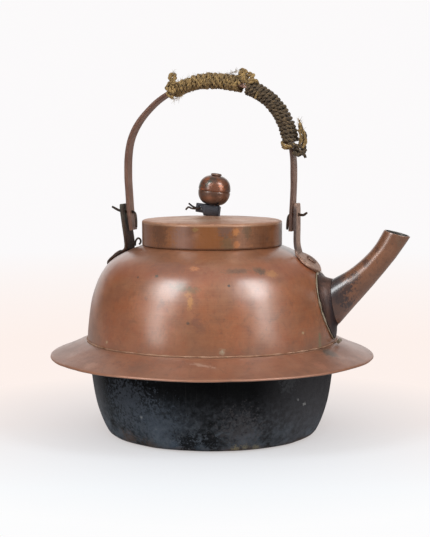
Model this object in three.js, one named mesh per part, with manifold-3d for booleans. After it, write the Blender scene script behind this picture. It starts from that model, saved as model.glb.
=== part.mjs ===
// Copper kettle with a wide hearth brim, a cap lid, a pouring spout and a swinging bail handle.
// Millimetres, +Z up, the origin at the centre of the flat bottom. +X points along the spout.
import * as THREE from "three";
import { mergeVertices } from "three/addons/utils/BufferGeometryUtils.js";
import Module from "manifold-3d";

// ---- driving dimensions -------------------------------------------------------------------
const BODY_SIDES = 48; // facets round the turned body pieces
const LID_SIDES = 40;
const GAP = 0.35; // daylight between neighbouring pieces

const POT_WALL = 1.4;
const DOME_WALL = 1.2;
const SPOUT_WALL = 1.3;

const BRIM_RADIUS = 140;
const BRIM_EDGE_Z = 67.2; // underside of the outer edge
const SEAM_Z = 79.6; // top edge of the lower pot, where the brim is clamped
const BRIM_THICK = 1.4;

const NECK_OUTER = 58.7;
const NECK_TOP = 176;

const LID_RADIUS = 60.5;
const LID_BOTTOM = 163.5;
const LID_SHOULDER = 182.6; // top of the lid's side band
const LID_CROWN = 186.4;

const KNOB_TILT = THREE.MathUtils.degToRad(7); // the knob leans towards the spout
const KNOB_BASE = new THREE.Vector3(-0.5, 0, 188);
const KNOB_RADIUS = 13.8;

const PIN_Z = 190; // height of the handle's hinge line
const PIN_WIRE = 1.15; // radius of the bent wire pins
const PIN_HOLE = 1.7;

const STRAP_WIDTH = 12.5;
const STRAP_THICK = 3;

const EAR_THICK = 2.4;

// outside of the lower pot, radius and height
const POT_PROFILE = [
  [80, 0], [86.5, 0.6], [90.2, 2.4], [92.5, 6], [96.3, 14.5],
  [100.6, 28], [103.5, 44], [105.4, 60], [106.5, 72], [107, SEAM_Z],
];
// outside of the domed upper body
const DOME_PROFILE = [
  [108, 81.7], [107.9, 86], [107.4, 93], [106.3, 103], [104.2, 115.5], [100.9, 127],
  [96, 138], [90.6, 145.6], [84.2, 151.2], [76, 155.8], [67.5, 159.6], [59.5, 162.75],
];
// centre line of the handle strap in the X, Z plane, from the far ear round to the spout side
const STRAP_LINE = [
  [-73, 174], [-74.2, 182], [-75.4, 190], [-76.5, 205], [-77.3, 222], [-77, 238], [-74.6, 252],
  [-70.4, 262], [-65.3, 270], [-58.3, 278], [-49.5, 286], [-40, 292], [-30, 296.8], [-18, 300.8],
  [-6, 302.8], [6, 303], [18, 301.6], [30, 298.4], [41, 293.8], [51.6, 286.6], [60, 277],
  [66, 265.6], [70.2, 252], [72.2, 238], [72.8, 222], [72.5, 206], [71.7, 190], [71.2, 176],
];
// upper and lower edge of the spout, seen from the side
const SPOUT_TOP = [[107.5, 136.3], [119.5, 143.3], [132.5, 154], [142.7, 165.4], [150.4, 178.6]];
const SPOUT_UNDER = [[113, 98.5], [129.3, 117.6], [145.5, 136.6], [159.6, 154.4], [171.9, 173]];
const SPOUT_HALF_WIDTH = [15.5, 12.4, 11.3, 10.9, 10.7];

// ---- materials ----------------------------------------------------------------------------
const paint = (color, roughness, metalness) =>
  new THREE.MeshStandardMaterial({ color, roughness, metalness });
const COPPER = paint(0xa3603f, 0.42, 0.9);
const LID_COPPER = paint(0xa8683f, 0.45, 0.9);
const SOOT = paint(0x1e1d1f, 0.7, 0.4);
const IRON = paint(0x2b2b2f, 0.6, 0.7);
const OLD_COPPER = paint(0x7c5444, 0.5, 0.85);
const PALE_CORD = paint(0xa58a55, 0.95, 0);
const DARK_CORD = paint(0x5f4a32, 0.95, 0);

// ---- solids -------------------------------------------------------------------------------
const wasm = await Module();
wasm.setup();

// A closed surface as a manifold solid, turned to face outwards.
function solid(geometry) {
  const g = geometry.clone();
  g.deleteAttribute("normal");
  g.deleteAttribute("uv");
  const merged = mergeVertices(g, 1e-4);
  const make = (triVerts) =>
    new wasm.Manifold(
      new wasm.Mesh({ numProp: 3, vertProperties: merged.attributes.position.array, triVerts }),
    );
  const made = make(new Uint32Array(merged.index.array));
  return made.volume() > 0 ? made : make(new Uint32Array(merged.index.array).reverse());
}

function geometryOf(made) {
  const mesh = made.getMesh();
  return new THREE.BufferGeometry()
    .setAttribute("position", new THREE.BufferAttribute(new Float32Array(mesh.vertProperties), 3))
    .setIndex(new THREE.BufferAttribute(new Uint32Array(mesh.triVerts), 1));
}

const kettle = new THREE.Group();
kettle.name = "copper_kettle";

function place(name, made, material, parent = kettle) {
  const geometry = geometryOf(made).toNonIndexed();
  geometry.computeVertexNormals();
  const mesh = new THREE.Mesh(geometry, material);
  mesh.name = name;
  parent.add(mesh);
  return mesh;
}

// A turned piece from a closed profile of [radius, height] points.
function turned(profile, sides) {
  const points = profile.map(([r, z]) => new THREE.Vector2(r, z));
  if (profile[0][0] > 0) points.push(points[0].clone());
  return solid(new THREE.LatheGeometry(points, sides).rotateX(Math.PI / 2));
}

// The same profile moved inwards by a wall thickness.
function inset(profile, wall) {
  const last = profile.length - 1;
  return profile.map(([r, z], i) => {
    const a = profile[Math.max(i - 1, 0)];
    const b = profile[Math.min(i + 1, last)];
    const length = Math.hypot(b[0] - a[0], b[1] - a[1]);
    return [r - (wall * (b[1] - a[1])) / length, z + (wall * (b[0] - a[0])) / length];
  });
}

// A straight round bar between two points, for drilling holes.
function bar(from, to, radius, sides = 14) {
  const a = new THREE.Vector3(...from);
  const b = new THREE.Vector3(...to);
  const g = new THREE.CylinderGeometry(radius, radius, a.distanceTo(b), sides);
  const turn = new THREE.Quaternion().setFromUnitVectors(
    new THREE.Vector3(0, 1, 0),
    b.clone().sub(a).normalize(),
  );
  g.applyQuaternion(turn).translate(...a.add(b).multiplyScalar(0.5).toArray());
  return solid(g);
}

// Round wire bent along points.
function wire(points, radius, steps, sides = 8) {
  const path = new THREE.CatmullRomCurve3(
    points.map((p) => new THREE.Vector3(...p)),
    false,
    "centripetal",
  );
  const section = new THREE.Shape(
    Array.from({ length: sides }, (_, i) => {
      const a = (2 * Math.PI * i) / sides;
      return new THREE.Vector2(radius * Math.cos(a), radius * Math.sin(a));
    }),
  );
  return solid(
    new THREE.ExtrudeGeometry(section, { steps, bevelEnabled: false, extrudePath: path }),
  );
}

// Triangles of a closed surface from rows of points that all have one length.
class Surface {
  positions = [];
  quad(a, b, c, d) {
    for (const p of [a, b, c, a, c, d]) this.positions.push(p.x, p.y, p.z);
  }
  solid() {
    const g = new THREE.BufferGeometry();
    g.setAttribute("position", new THREE.Float32BufferAttribute(this.positions, 3));
    return solid(g);
  }
}

// A tube wall between outer rings and inner rings, open at both ends.
function pipe(outer, inner) {
  const s = new Surface();
  const n = outer[0].length;
  const last = outer.length - 1;
  for (let j = 0; j < n; j++) {
    const k = (j + 1) % n;
    for (let i = 0; i < last; i++) {
      s.quad(outer[i][j], outer[i][k], outer[i + 1][k], outer[i + 1][j]);
      s.quad(inner[i][k], inner[i][j], inner[i + 1][j], inner[i + 1][k]);
    }
    s.quad(outer[0][k], outer[0][j], inner[0][j], inner[0][k]);
    s.quad(outer[last][j], outer[last][k], inner[last][k], inner[last][j]);
  }
  return s.solid();
}

// A sheet between two grids of points, its front and its back.
function sheet(front, back) {
  const s = new Surface();
  const rows = front.length - 1;
  const cols = front[0].length - 1;
  for (let i = 0; i < rows; i++)
    for (let j = 0; j < cols; j++) {
      s.quad(front[i][j], front[i][j + 1], front[i + 1][j + 1], front[i + 1][j]);
      s.quad(back[i][j + 1], back[i][j], back[i + 1][j], back[i + 1][j + 1]);
    }
  for (let i = 0; i < rows; i++) {
    s.quad(front[i][0], front[i + 1][0], back[i + 1][0], back[i][0]);
    s.quad(front[i + 1][cols], front[i][cols], back[i][cols], back[i + 1][cols]);
  }
  for (let j = 0; j < cols; j++) {
    s.quad(front[0][j + 1], front[0][j], back[0][j], back[0][j + 1]);
    s.quad(front[rows][j], front[rows][j + 1], back[rows][j + 1], back[rows][j]);
  }
  return s.solid();
}

// Points of a flat curve, each with its left-hand normal.
function trace(points, count) {
  const curve = new THREE.CatmullRomCurve3(
    points.map(([x, z]) => new THREE.Vector3(x, 0, z)),
    false,
    "centripetal",
  );
  return Array.from({ length: count + 1 }, (_, i) => {
    const p = curve.getPointAt(i / count);
    const t = curve.getTangentAt(i / count);
    return { x: p.x, z: p.z, nx: -t.z, nz: t.x };
  });
}

// A flat strip of one thickness that follows a curve, as a closed outline.
function ribbon(points, thick, count) {
  const line = trace(points, count);
  const side = (s) =>
    line.map((p) => new THREE.Vector2(p.x + (s * thick * p.nx) / 2, p.z + (s * thick * p.nz) / 2));
  return new THREE.Shape([...side(1), ...side(-1).reverse()]);
}

// Value of a polyline of [radius, height] points at a height.
function radiusAt(profile, z) {
  const i = Math.min(
    Math.max(profile.findIndex((p) => p[1] > z), 1),
    profile.length - 1,
  );
  const [r0, z0] = profile[i - 1];
  const [r1, z1] = profile[i];
  return r0 + ((r1 - r0) * (z - z0)) / (z1 - z0);
}
const domeRadius = (z) => radiusAt(DOME_PROFILE, z);

// ---- lower pot, brim, dome and neck -----------------------------------------------------------
place(
  "lower_pot",
  turned(
    [[0, 0], ...POT_PROFILE, ...inset(POT_PROFILE, POT_WALL).slice(1).reverse(),
      [80, POT_WALL], [0, POT_WALL]],
    BODY_SIDES,
  ),
  SOOT,
);

const brimTop = SEAM_Z + GAP + BRIM_THICK;
place(
  "brim",
  turned(
    [
      [104.4, SEAM_Z + GAP], [108.6, SEAM_Z + GAP - 0.1], [124, 73.4], [138.4, BRIM_EDGE_Z],
      [139.6, BRIM_EDGE_Z - 0.1], [BRIM_RADIUS, BRIM_EDGE_Z + 0.8], [139.5, BRIM_EDGE_Z + 1.7],
      [124.4, 73.4 + BRIM_THICK + 0.1], [109, brimTop], [104.4, brimTop],
    ],
    BODY_SIDES,
  ),
  COPPER,
);

// the body wall behind the spout is pierced as a tea strainer: one hole and a ring of six
const STRAINER_Z = 116;
const strainer = [[0, 0], ...Array.from({ length: 6 }, (_, i) => {
  const a = (Math.PI / 3) * i + Math.PI / 6;
  return [8.6 * Math.cos(a), 9.8 * Math.sin(a)];
})];
let dome = turned(
  [...DOME_PROFILE, ...inset(DOME_PROFILE, DOME_WALL).reverse()],
  BODY_SIDES,
);
for (const [y, z] of strainer)
  dome = dome.subtract(bar([90, y, STRAINER_Z + z], [112, y, STRAINER_Z + z], 2.6, 12));
place("dome", dome, COPPER);

place(
  "neck_collar",
  turned(
    [
      [NECK_OUTER - 1.2, NECK_TOP], [NECK_OUTER - 1.2, 160.4], [62.4, 158.3], [62.4, 159.5],
      [NECK_OUTER, 161.1], [NECK_OUTER, NECK_TOP - 0.4], [NECK_OUTER - 0.4, NECK_TOP],
    ],
    BODY_SIDES,
  ),
  COPPER,
);

// ---- spout and its flared flange --------------------------------------------------------------
const RING = 24;
const curveOf = (points) =>
  new THREE.CatmullRomCurve3(points.map(([x, z]) => new THREE.Vector3(x, 0, z)), false, "centripetal");
const topEdge = curveOf(SPOUT_TOP);
const underEdge = curveOf(SPOUT_UNDER);

// One ring of the spout; shrink moves it inwards.
function spoutRing(t, shrink) {
  const u = topEdge.getPoint(t);
  const l = underEdge.getPoint(t);
  const centre = u.clone().add(l).multiplyScalar(0.5);
  const up = u.sub(l).multiplyScalar(0.5);
  up.multiplyScalar(1 - (shrink * 1.1) / up.length());
  const f = t * (SPOUT_HALF_WIDTH.length - 1);
  const i = Math.min(Math.floor(f), SPOUT_HALF_WIDTH.length - 2);
  const side =
    THREE.MathUtils.lerp(SPOUT_HALF_WIDTH[i], SPOUT_HALF_WIDTH[i + 1], f - i) - shrink;
  return Array.from({ length: RING }, (_, j) => {
    const a = (2 * Math.PI * j) / RING;
    return new THREE.Vector3(
      centre.x + up.x * Math.cos(a),
      side * Math.sin(a),
      centre.z + up.z * Math.cos(a),
    );
  });
}
const SPOUT_RINGS = 12;
const stations = Array.from({ length: SPOUT_RINGS + 1 }, (_, i) => i / SPOUT_RINGS);
place(
  "spout",
  pipe(
    stations.map((t) => spoutRing(t, 0)),
    stations.map((t) => spoutRing(t, SPOUT_WALL)),
  ),
  COPPER,
);

// The flange's outline on the dome: egg shaped, with the point down.
const FLANGE = { middle: 117, up: 24, down: 31, half: 23 };
function flangeOutline(a, inward) {
  const c = Math.cos(a);
  const down = Math.max(0, -c);
  return {
    y: (FLANGE.half - inward) * Math.sin(a) * (1 - 0.42 * down * down),
    z: FLANGE.middle + c * ((c > 0 ? FLANGE.up : FLANGE.down) - inward),
  };
}
// Rings from the outline on the dome to the root of the spout: it rises late, like a trumpet.
function flangeRing(along, rise, lift, shrink, back) {
  const root = spoutRing(0, shrink);
  return root.map((p, j) => {
    const a = (2 * Math.PI * j) / RING;
    const o = flangeOutline(a, shrink);
    const y = THREE.MathUtils.lerp(o.y, p.y, along);
    const z = THREE.MathUtils.lerp(o.z, p.z, along);
    const onDome = Math.sqrt(domeRadius(z) ** 2 - y * y);
    const reach = p.x - back - Math.sqrt(domeRadius(p.z) ** 2 - p.y * p.y) - lift;
    return new THREE.Vector3(onDome + lift + rise * reach, y, z);
  });
}
const FLARE = [[0, 0], [0.3, 0.04], [0.6, 0.24], [0.84, 0.58], [1, 1]];
place(
  "spout_flange",
  pipe(
    FLARE.map(([along, rise]) => flangeRing(along, rise, GAP + 1.5, 0, GAP)),
    FLARE.map(([along, rise]) => flangeRing(along, rise, GAP + 0.1, SPOUT_WALL, GAP)),
  ),
  OLD_COPPER,
);

// ---- ears ---------------------------------------------------------------------------------
// An ear is one strip: a leaf-shaped foot that lies on the shoulder and an upright with a hole.
function ear(line, halfWidths, count) {
  const rows = trace(line, count);
  const grid = (s) =>
    rows.map((p, i) => {
      const f = (i / count) * (halfWidths.length - 1);
      const k = Math.min(Math.floor(f), halfWidths.length - 2);
      const half = THREE.MathUtils.lerp(halfWidths[k], halfWidths[k + 1], f - k);
      const curl = THREE.MathUtils.clamp((166 - p.z) / 8, 0, 1);
      const r = p.x + (s * EAR_THICK * p.nx) / 2;
      const z = p.z + (s * EAR_THICK * p.nz) / 2;
      return [-1, -0.66, -0.33, 0, 0.33, 0.66, 1].map((c) => {
        const y = c * half;
        const turn = (y / r) * curl;
        return new THREE.Vector3(
          r * Math.cos(turn),
          THREE.MathUtils.lerp(y, r * Math.sin(y / r), curl),
          z,
        );
      });
    });
  return sheet(grid(1), grid(-1));
}
// Middle line of the foot: above the dome by the gap and half the thickness.
function footLine(heights) {
  return heights.map((z) => {
    const slope = (domeRadius(z + 0.5) - domeRadius(z - 0.5)) / 1;
    const length = Math.hypot(1, slope);
    const off = GAP + 0.25 + EAR_THICK / 2;
    return [domeRadius(z) + off / length, z - (off * slope) / length];
  });
}
const earHole = (x, far) => bar([x, 0, PIN_Z], [far, 0, PIN_Z], PIN_HOLE);
const footRows = [141, 144.5, 148, 151, 153.6, 155];

// ear on the spout side: narrow copper upright
place(
  "ear_spout_side",
  ear(
    [...footLine(footRows), [77.2, 160], [75.95, 165], [75.85, 182], [75.85, 199.6]],
    [3, 13, 17.2, 17.6, 14.5, 9.5, 7.6, 7.5, 7.5, 7.5, 7.5, 7.5, 7.5, 7.5, 7.5, 6.2],
    22,
  ).subtract(earHole(60, 90)),
  OLD_COPPER,
);
// ear on the far side: a broader iron upright that leans outwards
place(
  "ear_far_side",
  ear(
    [...footLine(footRows), [76.8, 160], [76.9, 166], [79.1, 180], [81.6, 197]],
    [3, 13, 17.2, 17.6, 14.5, 11.5, 10.4, 10.2, 10, 9.9, 9.8, 9.7, 9.6, 9.6, 9.6, 8.2],
    22,
  )
    .subtract(earHole(60, 95))
    .rotate([0, 0, 180]),
  IRON,
);

// One flat-headed rivet through each foot.
const RIVET_Z = 149.6;
const shoulderSlope = domeRadius(RIVET_Z + 2) - domeRadius(RIVET_Z - 2);
const rivetTilt = THREE.MathUtils.radToDeg(Math.atan2(4, -shoulderSlope)); // square to the shoulder
function footRivet() {
  return turned(
    [[0, 0], [4.9, 0], [5.2, 0.5], [4.2, 1.2], [2.2, 1.6], [0, 1.7]],
    16,
  );
}
const rivetSeat = footLine([RIVET_Z])[0];
const seatOff = EAR_THICK / 2 + GAP;
const leanOut = THREE.MathUtils.degToRad(rivetTilt);
const rivetAt = [
  rivetSeat[0] + seatOff * Math.sin(leanOut),
  0,
  rivetSeat[1] + seatOff * Math.cos(leanOut),
];
place("rivet_spout_side", footRivet().rotate([0, rivetTilt, 0]).translate(rivetAt), OLD_COPPER);
place(
  "rivet_far_side",
  footRivet().rotate([0, rivetTilt, 0]).translate(rivetAt).rotate([0, 0, 180]),
  IRON,
);

// bent wire hinge pins, hooked over inside and left long outside
place(
  "pin_spout_side",
  wire(
    [
      [67.6, -1.6, 177.5], [67.8, -0.8, 184], [68.6, -0.1, 188.6], [70.4, 0, PIN_Z],
      [74, 0, PIN_Z], [77.6, 0, PIN_Z], [81.4, -0.5, PIN_Z - 0.2], [84.6, -1, PIN_Z + 1.8],
    ],
    PIN_WIRE,
    22,
  ),
  IRON,
);
place(
  "pin_far_side",
  wire(
    [
      [-69.3, -2, 176.5], [-69.8, -1.4, 183], [-71.2, -0.3, 188.4], [-73.4, 0, PIN_Z],
      [-77.5, 0, PIN_Z], [-82, 0, PIN_Z], [-86.5, -0.5, PIN_Z + 1.2], [-92.4, -1, PIN_Z + 4.2],
    ],
    PIN_WIRE,
    22,
  ),
  IRON,
);

// small wire eye by the far ear, where a lid chain would hang
place(
  "chain_eye",
  wire(
    [
      [-70.6, -1.6, 160.4], [-70.6, -1.4, 162.6], [-69.8, -1, 165.4], [-68, -0.6, 166.8],
      [-66.2, -0.2, 165.4], [-66.3, 0.4, 163], [-67.8, 1.2, 161.4],
    ],
    0.85,
    20,
    7,
  ),
  IRON,
);

// ---- lid ----------------------------------------------------------------------------------
place(
  "lid_band",
  turned(
    [
      [LID_RADIUS - 1.1, LID_BOTTOM], [LID_RADIUS, LID_BOTTOM + 0.1],
      [LID_RADIUS, LID_SHOULDER], [LID_RADIUS - 1.1, LID_SHOULDER],
    ],
    LID_SIDES,
  ),
  LID_COPPER,
);
const knobHole = bar([0, 0, 170], [0, 0, 200], 3.6);
place(
  "lid_top",
  turned(
    [
      [0, LID_CROWN], [22, LID_CROWN - 0.2], [42, LID_CROWN - 0.9], [55, 184.7], [59.2, 184.2],
      [LID_RADIUS, LID_SHOULDER + GAP], [LID_RADIUS - 1.5, LID_SHOULDER + GAP],
      [LID_RADIUS - 1.5, 178.6], [LID_RADIUS - 2.6, 178.6], [LID_RADIUS - 2.6, 183],
      [54.6, 183.5], [41.8, LID_CROWN - 2], [22, LID_CROWN - 1.3], [0, LID_CROWN - 1.1],
    ].reverse(),
    LID_SIDES,
  ).subtract(knobHole),
  LID_COPPER,
);
place(
  "knob_seat",
  turned(
    [[3.6, 186.8], [18.5, 186.6], [18.9, 187], [10.5, 187.8], [3.6, 187.9]],
    24,
  ),
  LID_COPPER,
);

// ---- knob, leaning a little ---------------------------------------------------------------
// Heights are along the knob's own axis, from its foot on the seat.
const onKnob = (made) =>
  made
    .rotate([0, THREE.MathUtils.radToDeg(KNOB_TILT), 0])
    .translate(KNOB_BASE.toArray());
const ballLower = [
  [3.4, 9.5], [7.6, 10], [10.8, 12.3], [12.9, 15.8], [13.7, 19], [KNOB_RADIUS, 21.5],
];
const ballUpper = [
  [KNOB_RADIUS, 21.8], [13.7, 25], [12.5, 29], [9.8, 32.3], [6.2, 34.2], [3.4, 34.7],
];
place(
  "knob_lower",
  onKnob(turned([...ballLower, ...inset(ballLower, 1.2).reverse()], 22)),
  COPPER,
);
place(
  "knob_upper",
  onKnob(turned([...ballUpper, ...inset(ballUpper, 1.2).reverse()], 22)),
  COPPER,
);
place(
  "knob_rivet",
  onKnob(
    turned(
      [
        [0, -6], [5, -6], [5.4, -5.4], [5.2, -4.2], [2.6, -3.9], [2.6, 35.1],
        [3.9, 35.2], [3.8, 36.6], [2.6, 37.8], [0, 38.2],
      ],
      16,
    ),
  ),
  OLD_COPPER,
);

// Iron strap round the knob's foot: one end flares, the other folds back as a lug with a hole.
const strapPlan = [
  [9.6, -8.4], [8.2, -6.2], [4.5, -5.3], [-3, -5.2], [-9, -5.1], [-12.2, -4.6], [-13.2, -3.1],
  [-12.2, -1.7], [-9.2, -1.3], [-6.6, -0.6], [-5.2, 2], [-3.2, 4.6], [0, 5.5], [3.4, 4.4],
  [5.3, 1.6],
];
const bracket = solid(
  new THREE.ExtrudeGeometry(ribbon(strapPlan, 1.3, 40), { depth: 8, bevelEnabled: false }),
).translate([0, 0, 1.1]);
place(
  "knob_bracket",
  onKnob(bracket.subtract(bar([-9.2, -12, 5.4], [-9.2, 4, 5.4], 1.45))),
  IRON,
);
// twisted wire left in the lug: two tails, one lying on the lid
place(
  "lid_wire",
  onKnob(
    wire(
      [
        [-22.6, -3.4, 2.2], [-20.4, -4, 4.6], [-17, -5.6, 4.2], [-13, -7.3, 4.4], [-9.4, -6.8, 5.4],
        [-9.2, -3, 5.4], [-9.2, 0.9, 5.4], [-12.6, 1.4, 4.6], [-16.6, -1.2, 5.2], [-21, -2, 7.6],
      ],
      0.8,
      36,
      6,
    ),
  ),
  IRON,
);

// ---- handle -------------------------------------------------------------------------------
const strap = new THREE.ExtrudeGeometry(ribbon(STRAP_LINE, STRAP_THICK - 0.8, 46), {
  depth: STRAP_WIDTH - 0.8,
  bevelThickness: 0.4,
  bevelSize: 0.4,
  bevelSegments: 1,
})
  .translate(0, 0, -(STRAP_WIDTH - 0.8) / 2)
  .rotateX(Math.PI / 2);
place(
  "handle_strap",
  solid(strap)
    .subtract(earHole(50, 95))
    .subtract(earHole(-95, -50)),
  OLD_COPPER,
);

// A cord binding as a sleeve round the part of the strap that a test picks out.
function sleeve(covers, halfWide, thickness) {
  const rings = (grow) =>
    trace(STRAP_LINE, 140)
      .filter(covers)
      .filter((_, i) => i % 2 === 0)
      .map((p, i) =>
        Array.from({ length: 14 }, (_, j) => {
          const a = (2 * Math.PI * (j + 0.5)) / 14;
          const c = Math.sign(Math.cos(a)) * Math.abs(Math.cos(a)) ** (grow ? 0.8 : 0.25);
          const s = Math.sign(Math.sin(a)) * Math.abs(Math.sin(a)) ** (grow ? 0.8 : 0.25);
          const wide = grow ? halfWide : STRAP_WIDTH / 2 + 0.5;
          const out = grow ? thickness(i) / 2 : STRAP_THICK / 2 + 0.5;
          return new THREE.Vector3(p.x + p.nx * out * s, wide * c, p.z + p.nz * out * s);
        }),
      );
  return pipe(rings(true), rings(false));
}
place(
  "binding_pale",
  sleeve((p) => p.z > 280 && p.x > -40.5 && p.x < 28, 9.6, (i) => 12.4 + 1.2 * Math.cos(i * 0.8)),
  PALE_CORD,
);
place(
  "binding_dark",
  sleeve((p) => p.x > 31 && p.z > 257, 10, () => 13.6),
  DARK_CORD,
);

// knots of the bindings: short cord ends that stand off them
place(
  "knot_far_end",
  wire([[-36, -3, 302.6], [-39.5, -3, 304], [-40.6, -1, 307.4], [-37.5, 0, 309.6], [-34, 1, 307.8], [-34, 3, 305]],
    1.9, 16),
  PALE_CORD,
);
place(
  "knot_middle",
  wire([[24, -3, 311.2], [26, -2, 313.2], [30, 0, 313], [33, 2, 312], [36, 1, 309.6], [37.4, -2, 308.2]],
    1.9, 16),
  PALE_CORD,
);
place(
  "knot_spout_end",
  wire([[77.5, -2, 274], [80.5, -1, 270], [82.5, 1, 264], [81, 2, 258], [76.6, 2, 254.4], [73.4, 0, 252.6]],
    1.9, 16),
  DARK_CORD,
);

export default kettle;
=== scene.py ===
# Copper kettle with a hearth brim, a cap lid, a pouring spout and a corded bail handle.
# Metres, +Z up, the spout along +X. The numbers in each section are millimetres times MM.
import math

import bmesh
import bpy
import numpy as np
from mathutils import Matrix, Vector, noise


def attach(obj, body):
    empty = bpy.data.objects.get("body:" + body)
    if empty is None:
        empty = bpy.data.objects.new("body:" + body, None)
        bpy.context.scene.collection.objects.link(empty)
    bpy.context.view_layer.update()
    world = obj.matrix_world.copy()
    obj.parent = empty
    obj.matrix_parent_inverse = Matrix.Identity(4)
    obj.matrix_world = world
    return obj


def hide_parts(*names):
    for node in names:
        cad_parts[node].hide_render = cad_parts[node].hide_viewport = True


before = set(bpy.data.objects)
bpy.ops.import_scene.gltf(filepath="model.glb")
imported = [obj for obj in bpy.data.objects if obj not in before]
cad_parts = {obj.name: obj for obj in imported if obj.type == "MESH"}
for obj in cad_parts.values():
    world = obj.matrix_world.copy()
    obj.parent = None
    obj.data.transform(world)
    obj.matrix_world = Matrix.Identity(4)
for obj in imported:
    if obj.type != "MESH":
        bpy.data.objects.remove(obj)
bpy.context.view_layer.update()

MM = 0.001
HAMMER_SEED = 20  # for the unevenness that the hammer leaves: the same on every run
noise.seed_set(HAMMER_SEED)

# ---- camera, floor and studio light -----------------------------------------------------------
# The kettle stands on a pale matt table in a soft studio: one soft box to the left, one to the
# right, a dimmer strip under each, and a bright wall behind.
CAMERA_FROM_AXIS = 1166 * MM
CAMERA_HEIGHT = 255.2 * MM
CAMERA_TURN = math.radians(-72)  # from +X: the spout points right and a little towards the camera
CAMERA_DOWN = math.radians(5.55)
CAMERA_ASIDE = math.radians(0.1273)  # the kettle stands a little left of the view's middle

def put(name, data):
    """A new object in the scene, at the origin."""
    made = bpy.data.objects.new(name, data)
    bpy.context.scene.collection.objects.link(made)
    return made


def connect(tree, socket, value):
    """Links a socket to an output, or to a node's first output, or sets its plain value."""
    if isinstance(value, bpy.types.Node):
        value = value.outputs[0]
    if isinstance(value, bpy.types.NodeSocket):
        tree.links.new(value, socket)
    else:
        socket.default_value = value


def add(tree, kind, inputs=None, **settings):
    """A node of one kind, with its settings, and its inputs linked or set."""
    node = tree.nodes.new(kind)
    for name, value in settings.items():
        setattr(node, name, value)
    for key, value in (inputs or {}).items():
        connect(tree, node.inputs[key], value)
    return node


def tree_of(values):
    """The node tree that the first node or output among the values belongs to."""
    return next(v.id_data for v in values if isinstance(v, (bpy.types.Node, bpy.types.NodeSocket)))


def maths(operation, *values):
    return add(tree_of(values), "ShaderNodeMath", dict(enumerate(values)), operation=operation)


def vectors(operation, *values):
    return add(tree_of(values), "ShaderNodeVectorMath", dict(enumerate(values)),
               operation=operation)


def span(value, low, high, start=0.0, end=1.0, how="LINEAR"):
    """Goes from start to end as the value goes from low to high."""
    return add(tree_of([value]), "ShaderNodeMapRange", {
        "Value": value, "From Min": low, "From Max": high, "To Min": start, "To Max": end,
    }, interpolation_type=how).outputs["Result"]


camera_data = bpy.data.cameras.new("camera")
camera_data.sensor_width = 36
camera_data.lens = 90.5
camera_data.clip_start = 0.05
camera_data.clip_end = 50
camera = put("camera", camera_data)
camera.location = (CAMERA_FROM_AXIS * math.cos(CAMERA_TURN),
    CAMERA_FROM_AXIS * math.sin(CAMERA_TURN), CAMERA_HEIGHT)
camera.rotation_euler = (math.radians(90) - CAMERA_DOWN, 0,
    CAMERA_TURN + math.radians(90) - CAMERA_ASIDE)
bpy.context.scene.camera = camera
bpy.context.scene.view_settings.view_transform = "Standard"


def soft_box(name, turn, height, away, wide, tall, power, tint):
    """A lamp that looks at the kettle from a turn round it and an angle above it."""
    data = bpy.data.lights.new(name, "AREA")
    data.shape = "RECTANGLE"
    data.size = wide
    data.size_y = tall
    data.energy = power
    data.color = tint
    lamp = put(name, data)
    a, e = CAMERA_TURN + math.radians(turn), math.radians(height)
    towards = Vector((math.cos(a) * math.cos(e), math.sin(a) * math.cos(e), math.sin(e)))
    aim = Vector((0, 0, 0.13))
    lamp.location = aim + towards * away
    lamp.rotation_euler = towards.to_track_quat("Z", "Y").to_euler()


soft_box("soft_box_left", -48, 40, 1.5, 0.46, 0.6, 7.7, (0.94, 0.98, 1.0))
soft_box("soft_box_right", 48, 40, 1.5, 0.46, 0.6, 7.7, (0.94, 0.98, 1.0))
soft_box("low_strip_left", -49, 13, 1.5, 0.38, 0.74, 3.4, (1.0, 0.985, 0.97))
soft_box("low_strip_right", 49, 13, 1.5, 0.38, 0.74, 3.4, (1.0, 0.985, 0.97))

world = bpy.data.worlds.new("studio")
bpy.context.scene.world = world
world.use_nodes = True
sky = world.node_tree
sky.nodes.clear()
seen = add(sky, "ShaderNodeLightPath")
place = add(sky, "ShaderNodeTexCoord")
to_camera = vectors("DOT_PRODUCT", place.outputs["Generated"], (math.cos(CAMERA_TURN),
    math.sin(CAMERA_TURN), 0.0))
bright_wall = span(to_camera.outputs["Value"], -0.97, -0.66, 0.95, 0.0)
dim_room = span(to_camera.outputs["Value"], -0.2, 0.7, 0.07, 0.24)
way_up = add(sky, "ShaderNodeSeparateXYZ", {0: place.outputs["Generated"]})
ceiling = span(way_up.outputs[2], 0.45, 0.85, 0.0, 0.28)
wall_and_room = maths("ADD", bright_wall, dim_room)
room_light = maths("ADD", wall_and_room, ceiling)
studio = add(sky, "ShaderNodeBackground", {"Color": (1.0, 0.985, 0.98, 1), "Strength": room_light})
wall = add(sky, "ShaderNodeBackground", {"Color": (0.968, 0.952, 0.958, 1), "Strength": 1.0})
either = add(sky, "ShaderNodeMixShader", {0: seen.outputs["Is Camera Ray"], 1: studio, 2: wall})
add(sky, "ShaderNodeOutputWorld", {"Surface": either})

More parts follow.
